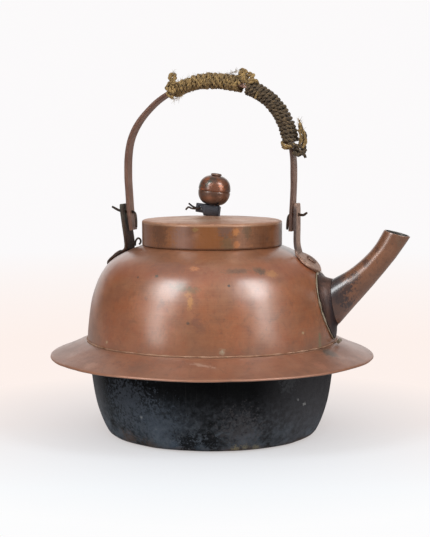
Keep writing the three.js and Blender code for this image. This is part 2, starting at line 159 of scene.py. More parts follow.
floor_mesh = bpy.data.meshes.new("floor")
floor_mesh.from_pydata([(3.2 * math.cos(math.radians(i * 5)), 3.2 * math.sin(math.radians(i * 5)),
    -0.0002) for i in range(72)], [], [list(range(72))])
floor = put("floor", floor_mesh)
paper = bpy.data.materials.new("table_paper")
paper.use_nodes = True
tree = paper.node_tree
tree.nodes.clear()
place = add(tree, "ShaderNodeTexCoord")
from_middle = vectors("LENGTH", place.outputs["Object"])
edge = span(from_middle.outputs["Value"], 0.09, 0.3, 0.5, 1.0)
to_front = vectors("DOT_PRODUCT", place.outputs["Object"], (math.cos(CAMERA_TURN),
    math.sin(CAMERA_TURN), 0.0))
in_front = span(to_front.outputs["Value"], -0.02, 0.2)
warmth = add(tree, "ShaderNodeMix", {0: in_front, 6: (0.985, 0.88, 0.835, 1),
    7: (0.98, 0.98, 0.985, 1)}, data_type="RGBA")
far_off = span(from_middle.outputs["Value"], 0.6, 1.9)
hue = add(tree, "ShaderNodeMix", {0: far_off, 6: warmth.outputs[2], 7: (0.968, 0.952, 0.958, 1)},
    data_type="RGBA")
seen = add(tree, "ShaderNodeLightPath")
glow = span(seen.outputs["Is Camera Ray"], 0.0, 1.0, 0.35, 1.0)
matt = add(tree, "ShaderNodeBsdfDiffuse", {"Color": (0.80, 0.90, 1.0, 1)})
far = add(tree, "ShaderNodeEmission", {"Color": hue.outputs[2], "Strength": glow})
faded = add(tree, "ShaderNodeMixShader", {0: edge, 1: matt, 2: far})
add(tree, "ShaderNodeOutputMaterial", {"Surface": faded})
floor_mesh.materials.append(paper)


# ---- lower pot --------------------------------------------------------------------------------
# The deep pan that hangs in the hearth hole: one raised bowl of copper with a thick flat bottom,
# black with soot outside and tinned inside. Its top edge is clamped under the brim.
def smooth_line(points, count):
    """Points evenly spaced along a rounded curve through the given ones."""
    p = np.array(points, float)
    p = np.vstack([2 * p[0] - p[1], p, 2 * p[-1] - p[-2]])
    dense = []
    for i in range(1, len(p) - 2):
        p0, p1, p2, p3 = p[i - 1 : i + 3]
        t1 = np.linalg.norm(p1 - p0) ** 0.5
        t2 = t1 + np.linalg.norm(p2 - p1) ** 0.5
        t3 = t2 + np.linalg.norm(p3 - p2) ** 0.5
        t = np.linspace(t1, t2, 24, endpoint=False)[:, None]
        a1 = (t1 - t) / t1 * p0 + t / t1 * p1
        a2 = (t2 - t) / (t2 - t1) * p1 + (t - t1) / (t2 - t1) * p2
        a3 = (t3 - t) / (t3 - t2) * p2 + (t - t2) / (t3 - t2) * p3
        b1 = (t2 - t) / t2 * a1 + t / t2 * a2
        b2 = (t3 - t) / (t3 - t1) * a2 + (t - t1) / (t3 - t1) * a3
        dense.append((t2 - t) / (t2 - t1) * b1 + (t - t1) / (t2 - t1) * b2)
    dense = np.vstack(dense + [p[-2:-1]])
    run = np.concatenate([[0], np.cumsum(np.linalg.norm(np.diff(dense, axis=0), axis=1))])
    even = np.linspace(0, run[-1], count)
    return np.stack([np.interp(even, run, dense[:, k]) for k in range(p.shape[1])], axis=1)


def directions(line):
    """The unit direction of a line at each of its points."""
    along = np.gradient(line, axis=0)
    return along / np.linalg.norm(along, axis=1)[:, None]


def sheet_outline(line, thickness, foot=True):
    """Outline of a sheet whose outer face is the line, with its edges rounded over. Without a
    foot it stays open at the line's start."""
    line = np.array(line, float)
    along = directions(line)
    out = np.stack([along[:, 1], -along[:, 0]], axis=1)
    middle = line - out * thickness / 2

    def rounding(end, first, last):
        a = np.linspace(first, last, 5)[:, None]
        return middle[end] + (np.cos(a) * out[end] + np.sin(a) * along[end]) * thickness / 2

    rows = [line[1:-1], rounding(-1, 0, math.pi), (line - out * thickness)[1:-1][::-1]]
    if foot:
        rows.append(rounding(0, math.pi, 2 * math.pi))
    return np.vstack(rows)


def wrapped(rows, sides, closed=False):
    """Faces between rings of points. Closed rows end where they begin, others are capped."""
    faces = []
    for i in range(rows if closed else rows - 1):
        for j in range(sides):
            k, n = (j + 1) % sides, (i + 1) % rows
            faces.append((i * sides + j, i * sides + k, n * sides + k, n * sides + j))
    if not closed:
        faces += [tuple(range(sides)), tuple(range((rows - 1) * sides, rows * sides))]
    return faces


def turned(outline, sides=160):
    """Points and faces of an outline of [radius, height] points turned round the Z axis.
    An outline that starts and ends on the axis is closed there, any other is a ring."""
    outline = np.array(outline, float)
    solid = outline[0][0] < 1e-9 and outline[-1][0] < 1e-9
    angles = np.arange(sides) * 2 * math.pi / sides
    points = [(r * math.cos(a), r * math.sin(a), z) for r, z in outline for a in angles]
    faces = wrapped(len(outline), sides, closed=True)
    return points, faces[:-sides] if solid else faces


def piece(name, points, faces, *materials, sharp=38.0, uneven=0.0):
    """A closed shape as an object at the origin: doubles merged, faces outward, soft shading that
    breaks at sharp corners, and a slight unevenness from the hammer."""
    mesh = bpy.data.meshes.new(name)
    mesh.from_pydata([tuple(p) for p in points], [], [tuple(f) for f in faces])
    b = bmesh.new()
    b.from_mesh(mesh)
    bmesh.ops.remove_doubles(b, verts=b.verts, dist=2e-6)
    bmesh.ops.dissolve_degenerate(b, edges=b.edges, dist=1e-7)
    bmesh.ops.recalc_face_normals(b, faces=b.faces)
    for v in b.verts:
        if uneven:
            v.co += noise.noise_vector(v.co * 34) * uneven + noise.noise_vector(v.co
                * 90) * uneven / 3
    for f in b.faces:
        f.smooth = True
    for e in b.edges:
        e.smooth = len(e.link_faces) == 2 and e.calc_face_angle() < math.radians(sharp)
    b.to_mesh(mesh)
    b.free()
    for m in materials:
        mesh.materials.append(m)
    return put(name, mesh)


def layer(amount, under, over):
    """One colour over another by an amount."""
    node = add(tree_of((amount, under, over)), "ShaderNodeMix", {0: amount, 6: under, 7: over},
               data_type="RGBA")
    return node.outputs[2]


def fade(value, low, high, start=0.0, end=1.0):
    """A soft step from start to end as the value goes from low to high."""
    return span(value, low, high, start, end, "SMOOTHSTEP")


def times(a, b):
    return maths("MULTIPLY", a, b).outputs[0]


def plus(a, b):
    return maths("ADD", a, b).outputs[0]


def rgb(r, g, b):
    """A colour as it looks on a screen, 0 to 255, as the linear colour that shaders take."""
    return tuple((c / 255 / 12.92 if c <= 10 else ((c / 255 + 0.055) / 1.055) ** 2.4
        for c in (r, g, b))) + (1.0,)


def wash(under, hue, *shares):
    """A hue of 0 to 255 over a colour, by the product of the shares."""
    amount = shares[0]
    for share in shares[1:]:
        amount = times(amount, share)
    return layer(amount, under, rgb(*hue))


def axis(place, which):
    """X, Y or Z of a place, as 0, 1 or 2."""
    return add(place.id_data, "ShaderNodeSeparateXYZ", {0: place}).outputs[which]


def together(*values):
    """A vector of X, Y and Z."""
    return add(tree_of(values), "ShaderNodeCombineXYZ", dict(enumerate(values)))


def scaled(vector, size):
    return add(tree_of((vector, size)), "ShaderNodeVectorMath", {0: vector, "Scale": size},
               operation="SCALE")


def open_group(name, sockets_in, sockets_out):
    """A shader node group with named inputs and outputs, and the nodes that hold them."""
    tree = bpy.data.node_groups.new(name, "ShaderNodeTree")
    for label, kind, value in sockets_in:
        socket = tree.interface.new_socket(label, in_out="INPUT", socket_type=kind)
        if value is not None:
            socket.default_value = value
    for label in sockets_out:
        tree.interface.new_socket(label, in_out="OUTPUT", socket_type="NodeSocketFloat")
    return tree, add(tree, "NodeGroupInput").outputs, add(tree, "NodeGroupOutput").inputs


# Clouds, blotches and specks of age: broad soft changes, ragged patches, and small dots.
age, given, out = open_group("age_clouds", [("Place", "NodeSocketVector", None),
    ("Size", "NodeSocketFloat", 0.03), ("Shift", "NodeSocketFloat", 0.0)],
    ["Clouds", "Blotches", "Specks", "Grain"])
finer = maths("DIVIDE", 1.0, given["Size"])
grown = scaled(given["Place"], finer)


def age_noise(scale, detail, roughness, distortion=0.0):
    return add(age, "ShaderNodeTexNoise", {"Vector": grown, "W": given["Shift"], "Scale": scale,
        "Detail": detail, "Roughness": roughness, "Distortion": distortion},
        noise_dimensions="4D").outputs[0]


age.links.new(fade(age_noise(1.0, 4, 0.6, 0.3), 0.36, 0.66), out["Clouds"])
age.links.new(fade(age_noise(3.1, 6, 0.68, 0.7), 0.54, 0.68), out["Blotches"])
age.links.new(fade(age_noise(17.0, 3, 0.6), 0.66, 0.73), out["Specks"])
age.links.new(age_noise(42.0, 5, 0.75), out["Grain"])

# Fine lines left by turning and wiping: round the piece, and up and down it.
streaks, given, out = open_group("wiped_streaks", [("Place", "NodeSocketVector", None),
    ("Lines", "NodeSocketFloat", 1400.0)], ["Round", "Upright"])
xyz = add(streaks, "ShaderNodeSeparateXYZ", {0: given["Place"]})
flat = together(xyz, xyz.outputs[1])
radius = vectors("LENGTH", flat)
around = vectors("NORMALIZE", flat)
slow = scaled(around, 2.2)
up_lines = times(xyz.outputs[2], given["Lines"])
out_lines = times(radius.outputs["Value"], given["Lines"])
bands = together(0, 0, up_lines)
round_place = vectors("ADD", slow, bands)
round_noise = add(streaks, "ShaderNodeTexNoise", {"Vector": round_place, "W": out_lines,
    "Scale": 1.0, "Detail": 3.0, "Roughness": 0.65}, noise_dimensions="4D")
fast = scaled(around, 95.0)
low_bands = together(0, 0, times(xyz.outputs[2], 28.0))
upright_place = vectors("ADD", fast, low_bands)
upright_noise = add(streaks, "ShaderNodeTexNoise", {"Vector": upright_place, "Scale": 1.0,
    "Detail": 3.0, "Roughness": 0.6}, noise_dimensions="3D")
streaks.links.new(round_noise.outputs[0], out["Round"])
streaks.links.new(upright_noise.outputs[0], out["Upright"])

# One ragged mark at a known place on a piece, such as a stain, a scale spot or a scuff.
mark, given, out = open_group("single_mark", [("Place", "NodeSocketVector", None),
    ("Centre", "NodeSocketVector", None), ("Stretch", "NodeSocketVector", (1, 1, 1)),
    ("Width", "NodeSocketFloat", 0.005), ("Ragged", "NodeSocketFloat", 0.5)], ["Mark"])
off = vectors("SUBTRACT", given["Place"], given["Centre"])
pulled = vectors("MULTIPLY", off, given["Stretch"])
distance = vectors("LENGTH", pulled)
ratio = maths("DIVIDE", distance.outputs["Value"], given["Width"])
rag = add(mark, "ShaderNodeTexNoise", {"Vector": given["Place"], "Scale": 420.0, "Detail": 5.0,
    "Roughness": 0.7})
rag_low = maths("SUBTRACT", rag, 0.5)
rag_out = times(times(rag_low, given["Ragged"]), 6.0)
mark.links.new(fade(plus(ratio, rag_out), 1.15, 0.45), out["Mark"])


def group(kind, **inputs):
    """A placed node group with its inputs linked or set. An underscore stands for a space."""
    node = add(tree_of(inputs.values()), "ShaderNodeGroup", node_tree=kind)
    for name, value in inputs.items():
        connect(node.id_data, node.inputs[name.replace("_", " ")], value)
    return node.outputs


def clouds(place, size, shift):
    return group(age, Place=place, Size=size, Shift=shift)


def marks(place, colour, ragged, where, rows):
    """Marks over a colour. A row gives where's two numbers, or a place if where is None, then
    width, hue, strength and, if it isn't round, how much its width shrinks in X, Y and Z."""
    for row in rows:
        at, rest = (where(*row[:2]), row[2:]) if where else (row[0], row[1:])
        width, hue, strength, *stretch = rest
        spot = group(mark, Place=place, Centre=at, Width=width, Ragged=ragged,
                     Stretch=stretch[0] if stretch else (1, 1, 1))
        colour = wash(colour, hue, spot["Mark"], strength)
    return colour


def finish(name, colour_and_gloss, **constants):
    """A material: the function lays its nodes and gives its colour, roughness and height, and the
    depth of that relief in metres. The constants are named with _ for a space."""
    made = bpy.data.materials.new(name)
    made.use_nodes = True
    tree = made.node_tree
    tree.nodes.clear()
    place = add(tree, "ShaderNodeTexCoord").outputs["Object"]
    colour, rough, height, depth = colour_and_gloss(tree, place)
    bump = add(tree, "ShaderNodeBump", {"Height": height, "Distance": depth, "Strength": 1.0})
    shader = add(tree, "ShaderNodeBsdfPrincipled", {**{name.replace("_", " "): value for name,
        value in constants.items()}, "Base Color": colour, "Roughness": rough, "Normal": bump})
    add(tree, "ShaderNodeOutputMaterial", {"Surface": shader})
    return made


POT_PROFILE = [[80, 0], [86.5, 0.6], [90.2, 2.4], [92.5, 6], [96.3, 14.5], [100.6, 28],
    [103.5, 44], [105.4, 60], [106.5, 72], [107, 79.6]]
POT_WALL = 1.4


def on_pot(turn, height):
    """The point of the pot's side at a turn from the spout, in degrees, and a height."""
    a = math.radians(turn)
    r = np.interp(height, [p[1] for p in POT_PROFILE], [p[0] for p in POT_PROFILE]) * MM
    return (r * math.cos(a), r * math.sin(a), height * MM)


def soot(tree, place):
    """Baked soot: dead black under the brim, deepened there by painted shade, blue-grey where it
    is rubbed, a painted brown-grey reflection at the flanks, with rust, pale scale and light
    scuffs near the foot."""
    big = clouds(place, 0.046, 2.0)
    small = clouds(place, 0.012, 5.0)
    tiny = clouds(place, 0.004, 8.0)
    lines = group(streaks, Place=place, Lines=700.0)
    xyz = add(tree, "ShaderNodeSeparateXYZ", {0: place})
    z = xyz.outputs[2]
    low = fade(z, 0.056, 0.014)
    cloudy = plus(times(big["Clouds"], 0.7), times(small["Clouds"], 0.4))
    rubbed = wash(rgb(78, 87, 97), (58, 57, 60), fade(xyz, -0.02, 0.05))
    # soot with painted shade: the colour goes near black towards the top, under the brim
    colour = layer(times(low, cloudy), rgb(3, 3, 4), rubbed)
    colour = wash(colour, (112, 117, 124), low, tiny["Clouds"], 0.42)
    colour = wash(colour, (14, 14, 15), tiny["Blotches"], 0.6)
    colour = wash(colour, (12, 12, 13), small["Blotches"], 0.7)
    # painted reflection: the left and right flanks are lightened to pale grey in ragged patches
    flank = fade(maths("ABSOLUTE", xyz), 0.06, 0.1)
    flank = times(flank, fade(z, 0.078, 0.056))
    ragged = fade(tiny["Grain"], 0.3, 0.7, 0.55, 1.0)
    wear_and_sheen = wash(rgb(156, 155, 158), (92, 90, 93), fade(xyz, -0.02, 0.05))
    colour = layer(times(times(flank, ragged), 0.8), colour, wear_and_sheen)
    dust = times(fade(lines["Upright"], 0.56, 0.78), fade(z, 0.07, 0.045))
    colour = wash(colour, (120, 116, 114), dust, 0.1)
    turned_under = times(fade(z, 0.026, 0.008), small["Clouds"])
    colour = wash(colour, (112, 121, 131), turned_under, 0.5)
    foot = fade(z, 0.0065, 0.0015)
    colour = wash(colour, (96, 74, 60), foot, big["Clouds"], 0.8)
    colour = marks(place, colour, 1.1, on_pot, [(-120, 5.5, 0.009, (104, 80, 62), 0.55),
        (-106, 3.5, 0.008, (98, 78, 62), 0.45), (-60, 4, 0.0032, (176, 160, 118), 0.6),
        (-55, 4.4, 0.0028, (170, 156, 120), 0.55), (-49, 3.4, 0.0034, (160, 148, 118), 0.5),
        (-84, 9, 0.011, (12, 12, 14), 0.95), (-72, 11, 0.009, (12, 12, 14), 0.95),
        (-92, 6, 0.005, (84, 98, 112), 0.5), (-78, 4, 0.004, (84, 96, 108), 0.45),
        (-24, 36, 0.0017, (170, 168, 166), 0.8), (-29, 41, 0.0012, (150, 150, 150), 0.7),
        (-107, 28, 0.0013, (190, 190, 188), 0.8), (-100, 19, 0.0011, (150, 154, 158), 0.7),
        (-114, 40, 0.022, (92, 98, 108), 0.6), (-98, 24, 0.018, (86, 93, 104), 0.55),
        (-58, 20, 0.016, (92, 88, 90), 0.55), (-35, 58, 0.008, (96, 98, 100), 0.45)])
    chips = times(small["Specks"], fade(z, 0.078, 0.04))
    colour = wash(colour, (104, 106, 108), chips, 0.45)
    rough = fade(big["Clouds"], 0.0, 1.0, 0.66, 0.84)
    height = plus(times(small["Grain"], 0.6), times(small["Blotches"], 0.5))
    height = plus(height, times(tiny["Clouds"], 0.25))
    return colour, rough, height, 0.0008


def tinned(tree, place):
    """The tin lining inside: dull grey, wiped on hot, with brown water scale."""
    aged = clouds(place, 0.02, 11.0)
    colour = wash(rgb(104, 101, 96), (80, 76, 70), aged["Clouds"])
    colour = wash(colour, (96, 80, 66), aged["Blotches"], 0.6)
    rough = fade(aged["Grain"], 0.3, 0.7, 0.42, 0.6)
    return colour, rough, aged["Clouds"], 0.0002


soot_black = finish("soot_black", soot, Metallic=0.0, Specular_IOR_Level=0.16)
tin_lining = finish("tin_lining", tinned, Metallic=0.6)


def line_inside(made, lined, reach=None):
    """Gives the inward-facing faces of a hollow turned piece the tin lining."""
    made.data.materials.append(lined)
    for f in made.data.polygons:
        c, n = f.center, f.normal
        if c.x * n.x + c.y * n.y < -1e-4 * 0.2 or (reach and reach(c, n)):
            f.material_index = 1


pot_side = smooth_line(POT_PROFILE, 60)
pot_outline = np.vstack([[[0, 0], [25, 0], [50, 0], [70, 0]], sheet_outline(pot_side, POT_WALL,
    foot=False), [[70, POT_WALL], [50, POT_WALL], [25, POT_WALL], [0, POT_WALL]]]) * MM
pot = piece("lower_pot_shell", *turned(pot_outline), soot_black, uneven=0.00035)
line_inside(pot, tin_lining, lambda c, n: n.z > 0.5 and c.z < 0.005)
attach(pot, "kettle")
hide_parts("lower_pot")


# ---- hearth brim ------------------------------------------------------------------------------
# The wide sloping flange that rests on the hearth: one ring of sheet copper, spun to a hollow
# slope, with its rim turned under, wiped bright by hands. It is clamped between pot and dome.
BRIM_THICK = 1.4
BRIM_TOP = [[104.4, 81.35], [109, 81.3], [112, 80.35], [118, 77.75], [124.4, 74.9], [132, 71.9],
    [138.2, 69.45]]


def copper_layers(tree, place, warm, brown, dark, pale, shift, lines=1300.0, size=0.032):
    """Old wiped copper: warm metal under brown tarnish, clouds, fine lines and dark specks.
    Gives its colour, roughness, height, and the masks that made them."""
    aged = clouds(place, size, shift)
    fine = clouds(place, size * 0.3, shift + 3.7)
    wiped = group(streaks, Place=place, Lines=lines)
    colour = layer(times(aged["Clouds"], 0.85), warm, brown)
    colour = layer(times(fine["Clouds"], 0.3), colour, pale)
    colour = layer(times(aged["Blotches"], 0.42), colour, dark)
    across = fade(wiped["Round"], 0.36, 0.68)
    colour = layer(times(across, 0.26), colour, pale)
    down = fade(wiped["Upright"], 0.55, 0.75)
    colour = layer(times(down, 0.2), colour, dark)
    colour = layer(times(fine["Blotches"], 0.34), colour, dark)
    colour = layer(times(fade(fine["Grain"], 0.5, 0.72), 0.35), colour, dark)
    colour = layer(times(fade(aged["Grain"], 0.54, 0.7), 0.3), colour, pale)
    colour = wash(colour, (60, 42, 34), fine["Specks"], 0.55)
    rough = plus(fade(aged["Clouds"], 0.0, 1.0, 0.3, 0.4), times(wiped["Round"], 0.1))
    rough = plus(rough, times(fine["Blotches"], 0.08))
    height = plus(times(wiped["Round"], 0.5), times(fine["Grain"], 0.35))
    return colour, rough, height, {"aged": aged, "fine": fine, "wiped": wiped}


def on_brim(turn, far):
    """The point of the brim's top at a turn from the spout and a distance from the axis."""
    a = math.radians(turn)
    return (far * MM * math.cos(a), far * MM * math.sin(a),
        np.interp(far, [p[0] for p in BRIM_TOP], [p[1] for p in BRIM_TOP]) * MM)


def brim_copper(tree, place):
    colour, rough, height, seen = copper_layers(tree, place, rgb(164, 96, 60), rgb(136, 82, 56),
        rgb(92, 58, 44), rgb(182, 128, 94), shift=21.0, lines=1500.0)
    flat = vectors("MULTIPLY", place, (1, 1, 0))
    r = vectors("LENGTH", flat)
    r = r.outputs["Value"]
    z = axis(place, 2)
    rim = times(fade(r, 0.1382, 0.1396), fade(seen["fine"]["Grain"], 0.3, 0.6, 0.5, 1.0))
    colour = wash(colour, (206, 136, 96), rim, 0.35)
    root = times(fade(r, 0.1125, 0.1088), fade(z, 0.078, 0.08))
    colour = wash(colour, (150, 122, 98), root, 0.35)
    # painted shade: the faces that look downwards are darkened towards brown-black
    under = fade(axis(add(tree, "ShaderNodeNewGeometry").outputs["Normal"], 2), 0.0, -0.4)
    colour = wash(colour, (44, 36, 34), under, 0.8)
    colour = marks(place, colour, 0.6, on_brim, [(-76, 119, 0.0075, (206, 168, 146), 0.55,
        (0.7, 4.0, 1.0)), (-120, 132, 0.006, (196, 140, 112), 0.5), (-16, 116, 0.009, (86, 74, 58),
        0.8), (-30, 130, 0.007, (190, 124, 92), 0.6), (-98, 126, 0.012, (128, 88, 68), 0.5)])
    rough = plus(rough, times(under, 0.25))
    return colour, rough, height, 0.00022


brim_finish = finish("brim_copper", brim_copper, Metallic=0.3, Coat_Weight=1.0,
    Coat_Roughness=0.46, Coat_IOR=1.8)
top_face = smooth_line(BRIM_TOP, 34)
under_face = top_face + np.array([0, -BRIM_THICK])
rolled = [[139.15, 69.0], [139.7, 68.6], [139.95, 68.0], [139.85, 67.4], [139.4, 67.1],
    [138.7, 67.2]]
brim_outline = np.vstack([under_face[:-1], rolled[::-1], top_face[::-1]]) * MM
brim = piece("hearth_brim", *turned(brim_outline, 200), brim_finish, uneven=0.00045)
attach(brim, "kettle")
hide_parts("brim")


# ---- dome -------------------------------------------------------------------------------------
# The bulging upper body: one sheet of copper raised over stakes and planished smooth. Behind the
# spout it is pierced by a ring of seven holes, so that leaves stay in the kettle.
DOME_PROFILE = [[108, 81.7], [107.9, 86], [107.4, 93], [106.3, 103], [104.2, 115.5], [100.9, 127],
    [96, 138], [90.6, 145.6], [84.2, 151.2], [76, 155.8], [67.5, 159.6], [59.5, 162.75]]
DOME_WALL = 1.2
STRAINER = {"height": 116, "across": 8.6, "up": 9.8, "hole": 2.6}
dome_line = smooth_line(DOME_PROFILE, 90)


def on_dome(turn, height):
    """The point of the dome at a turn from the spout, in degrees, and a height."""
    r = np.interp(height, dome_line[:, 1], dome_line[:, 0]) * MM
    a = math.radians(turn)
    return (r * math.cos(a), r * math.sin(a), height * MM)


def dome_copper(tree, place):
    """Warm red-brown copper, browner at the foot, with stains, pits and verdigris."""
    colour, rough, height, seen = copper_layers(tree, place, rgb(172, 94, 50), rgb(132, 78, 46),
        rgb(90, 56, 38), rgb(184, 124, 84), shift=1.0)
    z = axis(place, 2)
    foot = times(fade(z, 0.096, 0.083), fade(seen["aged"]["Clouds"], 0, 1, 0.4, 1))
    colour = wash(colour, (126, 88, 66), foot, 0.55)
    shoulder = times(fade(z, 0.136, 0.145), fade(z, 0.156, 0.149))
    colour = wash(colour, (150, 82, 56), shoulder, 0.5)
    crown = times(fade(z, 0.15, 0.158), 0.45)
    colour = wash(colour, (116, 80, 60), crown)
    colour = marks(place, colour, 0.55, on_dome, [
        (-81.6, 150, 0.0035, (214, 138, 88), 0.75, (0.8, 1, 1.3)),  # orange oval
        (-81.7, 125, 0.0046, (206, 142, 72), 0.7, (1.9, 1, 0.55)),  # amber drip
        (-83.0, 131, 0.003, (204, 140, 76), 0.6),
        (-40.1, 144.9, 0.0058, (196, 134, 76), 0.6, (0.8, 1, 1.6)),
        (-46.3, 147.6, 0.0052, (52, 52, 36), 0.75, (0.8, 1, 1.4)),  # dark green stain
        (-59, 148, 0.0052, (44, 34, 30), 0.85, (0.45, 0.45, 2.6)),  # scratch
        (-87.3, 136.1, 0.0055, (98, 92, 56), 0.5, (0.7, 1, 1.5)),
        (-81.4, 134.1, 0.0045, (98, 92, 56), 0.5, (0.7, 1, 1.5)),
        (-112.2, 141.9, 0.0012, (40, 40, 34), 0.95),  # pits
        (-101.0, 143.6, 0.0016, (52, 60, 46), 0.95),
        (-82.4, 108.1, 0.0014, (34, 40, 36), 0.95),
        (-63.9, 137.2, 0.0013, (34, 34, 32), 0.95),
        (-78.9, 109.4, 0.0040, (112, 66, 54), 0.5, (1, 1, 0.7)),
        (-76.7, 104.5, 0.0044, (112, 66, 54), 0.45, (1, 1, 0.7)),
        (-67.8, 85.9, 0.0028, (190, 178, 152), 0.8),  # dab of solder
        (-125.5, 87.2, 0.0014, (214, 196, 150), 0.7),
        (-28.1, 96.6, 0.0014, (206, 184, 140), 0.7),
        (-16.0, 86, 0.0062, (108, 116, 74), 0.6, (1, 2.2, 0.6)),  # green run
        (-103.7, 125.6, 0.0022, (110, 72, 58), 0.5),
        (-96, 150, 0.012, (120, 80, 66), 0.45, (0.6, 0.6, 2)),
        (-62, 152, 0.016, (166, 116, 86), 0.45, (0.6, 0.6, 1.8)),
        (-24, 128, 0.020, (146, 86, 56), 0.4, (1, 1, 0.7)),
        (-122, 112, 0.024, (150, 84, 56), 0.4, (1, 1, 0.7)),
        (-80, 92, 0.022, (150, 92, 52), 0.5, (0.6, 0.6, 1.2)),
    ])
    tiny = clouds(place, 0.0055, 7.0)
    patchy = fade(seen["aged"]["Clouds"], 0.2, 0.9, 0.25, 1.0)
    colour = wash(colour, (66, 44, 34), tiny["Specks"], patchy, 0.6)
    colour = wash(colour, (96, 60, 42), tiny["Blotches"], 0.22)
    colour = wash(colour, (204, 142, 98), tiny["Clouds"], 0.12)
    # dark patina round the foot of the spout's flange
    spout_foot = group(mark, Place=place, Centre=(0.104, 0, 0.114), Width=0.036,
        Stretch=(1, 1.3, 1), Ragged=0.35)
    colour = wash(colour, (92, 64, 52), spout_foot["Mark"], 0.55)
    return colour, rough, height, 0.00022


dome_finish = finish("dome_copper", dome_copper, Metallic=0.03, Coat_Weight=1.0,
    Coat_Roughness=0.28, Coat_IOR=1.8)
dome = piece("dome_shell", *turned(sheet_outline(dome_line, DOME_WALL) * MM, 180), dome_finish,
    uneven=0.0004)

def geo(tree, kind, inputs=None, **settings):
    return add(tree, "GeometryNode" + kind, inputs, **settings)


def start_tree(name, numbers, first="Path", result="Shape", counts=(), painted=True):
    """A Geometry Nodes tree that takes a shape and a finish, with named numbers between."""
    tree = bpy.data.node_groups.new(name, "GeometryNodeTree")
    sockets = [(first, "Geometry"), *((label, "Float") for label in numbers),
               *((label, "Int") for label in counts)]
    for label, kind in sockets + [("Finish", "Material")] * painted:
        tree.interface.new_socket(label, in_out="INPUT", socket_type="NodeSocket" + kind)
    tree.interface.new_socket(result, in_out="OUTPUT", socket_type="NodeSocketGeometry")
    return tree, add(tree, "NodeGroupInput").outputs, add(tree, "NodeGroupOutput").inputs


def close_tree(tree, given, out, shape, soft=True):
    """Ends a tree: instances made real, shaded soft if asked, and given the finish."""
    real = geo(tree, "RealizeInstances", {0: shape})
    if soft:
        real = geo(tree, "SetShadeSmooth", {"Geometry": real})
    painted = geo(tree, "SetMaterial", {"Geometry": real, "Material": given["Finish"]})
    connect(tree, out[0], painted)


# The strainer's holes: a short rod stands at each place and is cut away.
piercing, given, out = start_tree("strainer_holes", ["Hole Radius", "Ring Across", "Ring Up",
    "Height", "From Axis"], "Shell", "Pierced")
ring = geo(piercing, "MeshCircle", {"Vertices": 6, "Radius": 1.0})
turned_ring = geo(piercing, "Transform", {"Geometry": ring, "Rotation": (math.radians(90), 0,
    math.radians(90)), "Scale": (1, 1, 1)})
ring_scale = together(1.0, given["Ring Across"], given["Ring Up"])
spread = geo(piercing, "Transform", {"Geometry": turned_ring, "Scale": ring_scale})
middle_hole = geo(piercing, "MeshLine", {"Count": 1})
all_places = geo(piercing, "JoinGeometry")
piercing.links.new(spread.outputs[0], all_places.inputs[0])
piercing.links.new(middle_hole.outputs[0], all_places.inputs[0])
strainer_at = together(given["From Axis"], 0, given["Height"])
set_out = geo(piercing, "Transform", {"Geometry": all_places, "Translation": strainer_at})
rod = geo(piercing, "MeshCylinder", {"Vertices": 20, "Radius": given["Hole Radius"],
    "Depth": 0.022})
lying_rod = geo(piercing, "Transform", {"Geometry": rod.outputs["Mesh"],
    "Rotation": (0, math.radians(90), 0)})
rods = geo(piercing, "InstanceOnPoints", {"Points": set_out, "Instance": lying_rod})
real_rods = geo(piercing, "RealizeInstances", {0: rods})
pierced = geo(piercing, "MeshBoolean", {"Mesh 1": given["Shell"], "Mesh 2": real_rods},
    operation="DIFFERENCE", solver="EXACT")
close_tree(piercing, given, out, pierced, soft=False)


def keep_plain(made):
    """Puts the evaluated mesh in the place of a piece's mesh and its modifiers."""
    bpy.context.view_layer.update()
    plain = bpy.data.meshes.new_from_object(
        made.evaluated_get(bpy.context.evaluated_depsgraph_get()))
    made.modifiers.clear()
    made.data = plain


def run_nodes(made, tree, values):
    """Runs a Geometry Nodes tree on a piece, its inputs set by name, and keeps the plain mesh."""
    modifier = made.modifiers.new(tree.name, "NODES")
    modifier.node_group = tree
    for socket in tree.interface.items_tree:
        if socket.item_type == "SOCKET" and socket.in_out == "INPUT" and socket.name in values:
            modifier[socket.identifier] = values[socket.name]
    keep_plain(made)
    made.data.name = made.name
    bpy.context.view_layer.update()
    return made


run_nodes(dome, piercing, {"Hole Radius": STRAINER["hole"] * MM,
    "Ring Across": STRAINER["across"] * MM, "Ring Up": STRAINER["up"] * MM,
    "Height": STRAINER["height"] * MM, "From Axis": 104 * MM, "Finish": dome_finish})
line_inside(dome, tin_lining)
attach(dome, "kettle")
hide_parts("dome")


# ---- solder seam ------------------------------------------------------------------------------
# The brim is sweated to the dome: a thin uneven bead of soft solder runs round the joint, grey
# with a little verdigris, brighter where a cloth reaches it.
def solder(tree, place, light, dark, green):
    aged = clouds(place, 0.012, 31.0)
    colour = layer(aged["Clouds"], light, dark)
    colour = layer(times(aged["Blotches"], 0.6), colour, green)
    colour = wash(colour, (208, 192, 156), aged["Specks"], 0.8)
    rough = fade(aged["Grain"], 0.3, 0.7, 0.35, 0.6)
    return colour, rough, aged["Grain"], 0.0004


wiped_solder = finish("wiped_solder", lambda tree, place: solder(tree, place, rgb(200, 160, 134),
    rgb(166, 122, 96), rgb(150, 134, 104)), Metallic=0.4)
green_solder = finish("green_solder", lambda tree, place: solder(tree, place, rgb(204, 190, 168),
    rgb(152, 138, 116), rgb(120, 130, 104)), Metallic=0.4)


